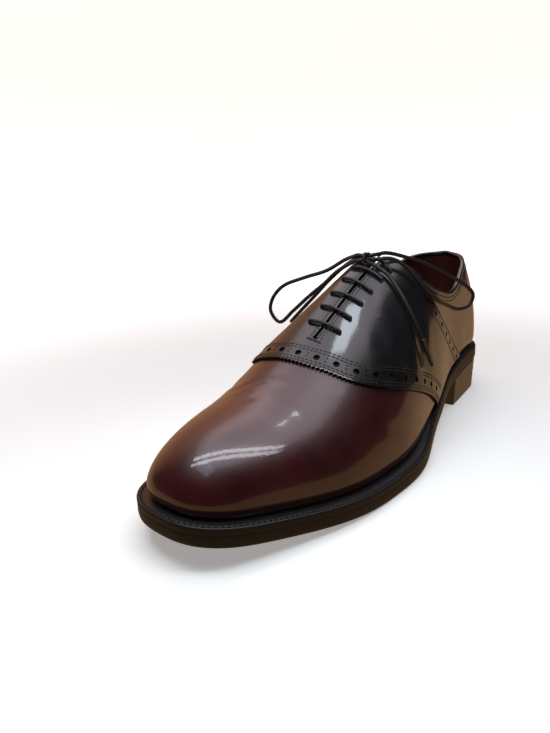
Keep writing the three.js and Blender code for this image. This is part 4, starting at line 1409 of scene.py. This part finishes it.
def towards(axis, low, high):
    """A factor that rises from 0 to 1 as the direction turns towards an axis."""
    dot = sky_node("ShaderNodeVectorMath", operation="DOT_PRODUCT")
    sky.links.new(direction, dot.inputs[0])
    dot.inputs[1].default_value = axis
    step = sky_node("ShaderNodeMapRange", interpolation_type="SMOOTHSTEP")
    sky.links.new(dot.outputs["Value"], step.inputs["Value"])
    step.inputs["From Min"].default_value = low
    step.inputs["From Max"].default_value = high
    return dot.outputs["Value"], step.outputs["Result"]


def blended(kind, factor, first, second):
    mix = sky_node("ShaderNodeMix", data_type="RGBA", blend_type=kind)
    sky.links.new(factor, mix.inputs["Factor"])
    for socket, value in ((mix.inputs["A"], first), (mix.inputs["B"], second)):
        if isinstance(value, tuple):
            socket.default_value = (*value, 1)
        else:
            sky.links.new(value, socket)
    return mix.outputs["Result"]


direction = sky_node("ShaderNodeTexCoord").outputs["Generated"]
height, _ = towards(SKY_AXIS, 0, 1)
ramp = sky_node("ShaderNodeValToRGB")
ramp.color_ramp.interpolation = "EASE"
while len(ramp.color_ramp.elements) < len(SKY_STEPS):
    ramp.color_ramp.elements.new(0.5)
for element, (position, colour) in zip(ramp.color_ramp.elements, SKY_STEPS):
    element.position = position
    element.color = (*colour, 1)
sky.links.new(height, ramp.inputs["Fac"])
_, beside_factor = towards(SIDE_AXIS, 0.70, 0.97)
sky_colour = blended("ADD", beside_factor, ramp.outputs["Color"], SIDE_GLOW)
_, above = towards(Vector((0, 0, 1)), -0.03, 0.02)
sky_colour = blended("MIX", above, FLOOR_GLOW, sky_colour)
sky.links.new(sky_colour, sky.nodes["Background"].inputs["Color"])
sky.nodes["Background"].inputs["Strength"].default_value = 1.0


def seen_in(share, angle, grow=0.0):
    """The direction in which the camera sees the studio mirrored at a place of the leather."""
    point = Vector(to_model(form_point([share], [angle], [grow]))[0])
    normal = Vector(form_normal(np.array([share]), np.array([angle]), grow)[0])
    ray = (point - camera.location).normalized()
    return point, (ray - 2 * ray.dot(normal) * normal).normalized()


def ceiling_light(name, first, second, width, height, energy, colour):
    """A strip light on the ceiling, from where one place mirrors it to where another does."""
    ends = []
    for place in (first, second):
        point, away = seen_in(*place)
        ends.append(point + away * (height / away.z))
    middle, span = (ends[0] + ends[1]) / 2, ends[1] - ends[0]
    span.z = 0
    bpy.ops.object.select_all(action="DESELECT")
    bpy.ops.object.light_add(type="AREA")
    light = bpy.context.object
    light.name = name
    light.data.shape = "RECTANGLE"
    light.data.size, light.data.size_y = span.length, width
    light.data.energy = energy
    light.data.color = colour
    light.visible_camera = False
    light.matrix_world = Matrix.Translation(middle) @ Matrix.Rotation(math.atan2(span.y, span.x), 4, "Z")
    print(name, "from", [round(c, 2) for c in ends[0]], "to", [round(c, 2) for c in ends[1]])
    return light


STRIP_COLOUR = (0.92, 0.95, 1.0)
ceiling_light("strip_light", (0.962, 76), (0.864, 43), 0.016, 0.19, 0.13, STRIP_COLOUR)
ceiling_light("strip_light_2", (0.955, 79), (0.854, 45), 0.016, 0.19, 0.13, STRIP_COLOUR)
saddle_spots = (0.665, 64, SADDLE_TOP), (0.575, 73, SADDLE_TOP)
ceiling_light("saddle_light", *saddle_spots, 0.022, 0.062, 0.0145, (0.80, 0.91, 1.0))
ceiling_light("toe_light", (0.954, 72), (0.956, 55), 0.07, 0.25, 0.05, (0.62, 0.78, 1.0))
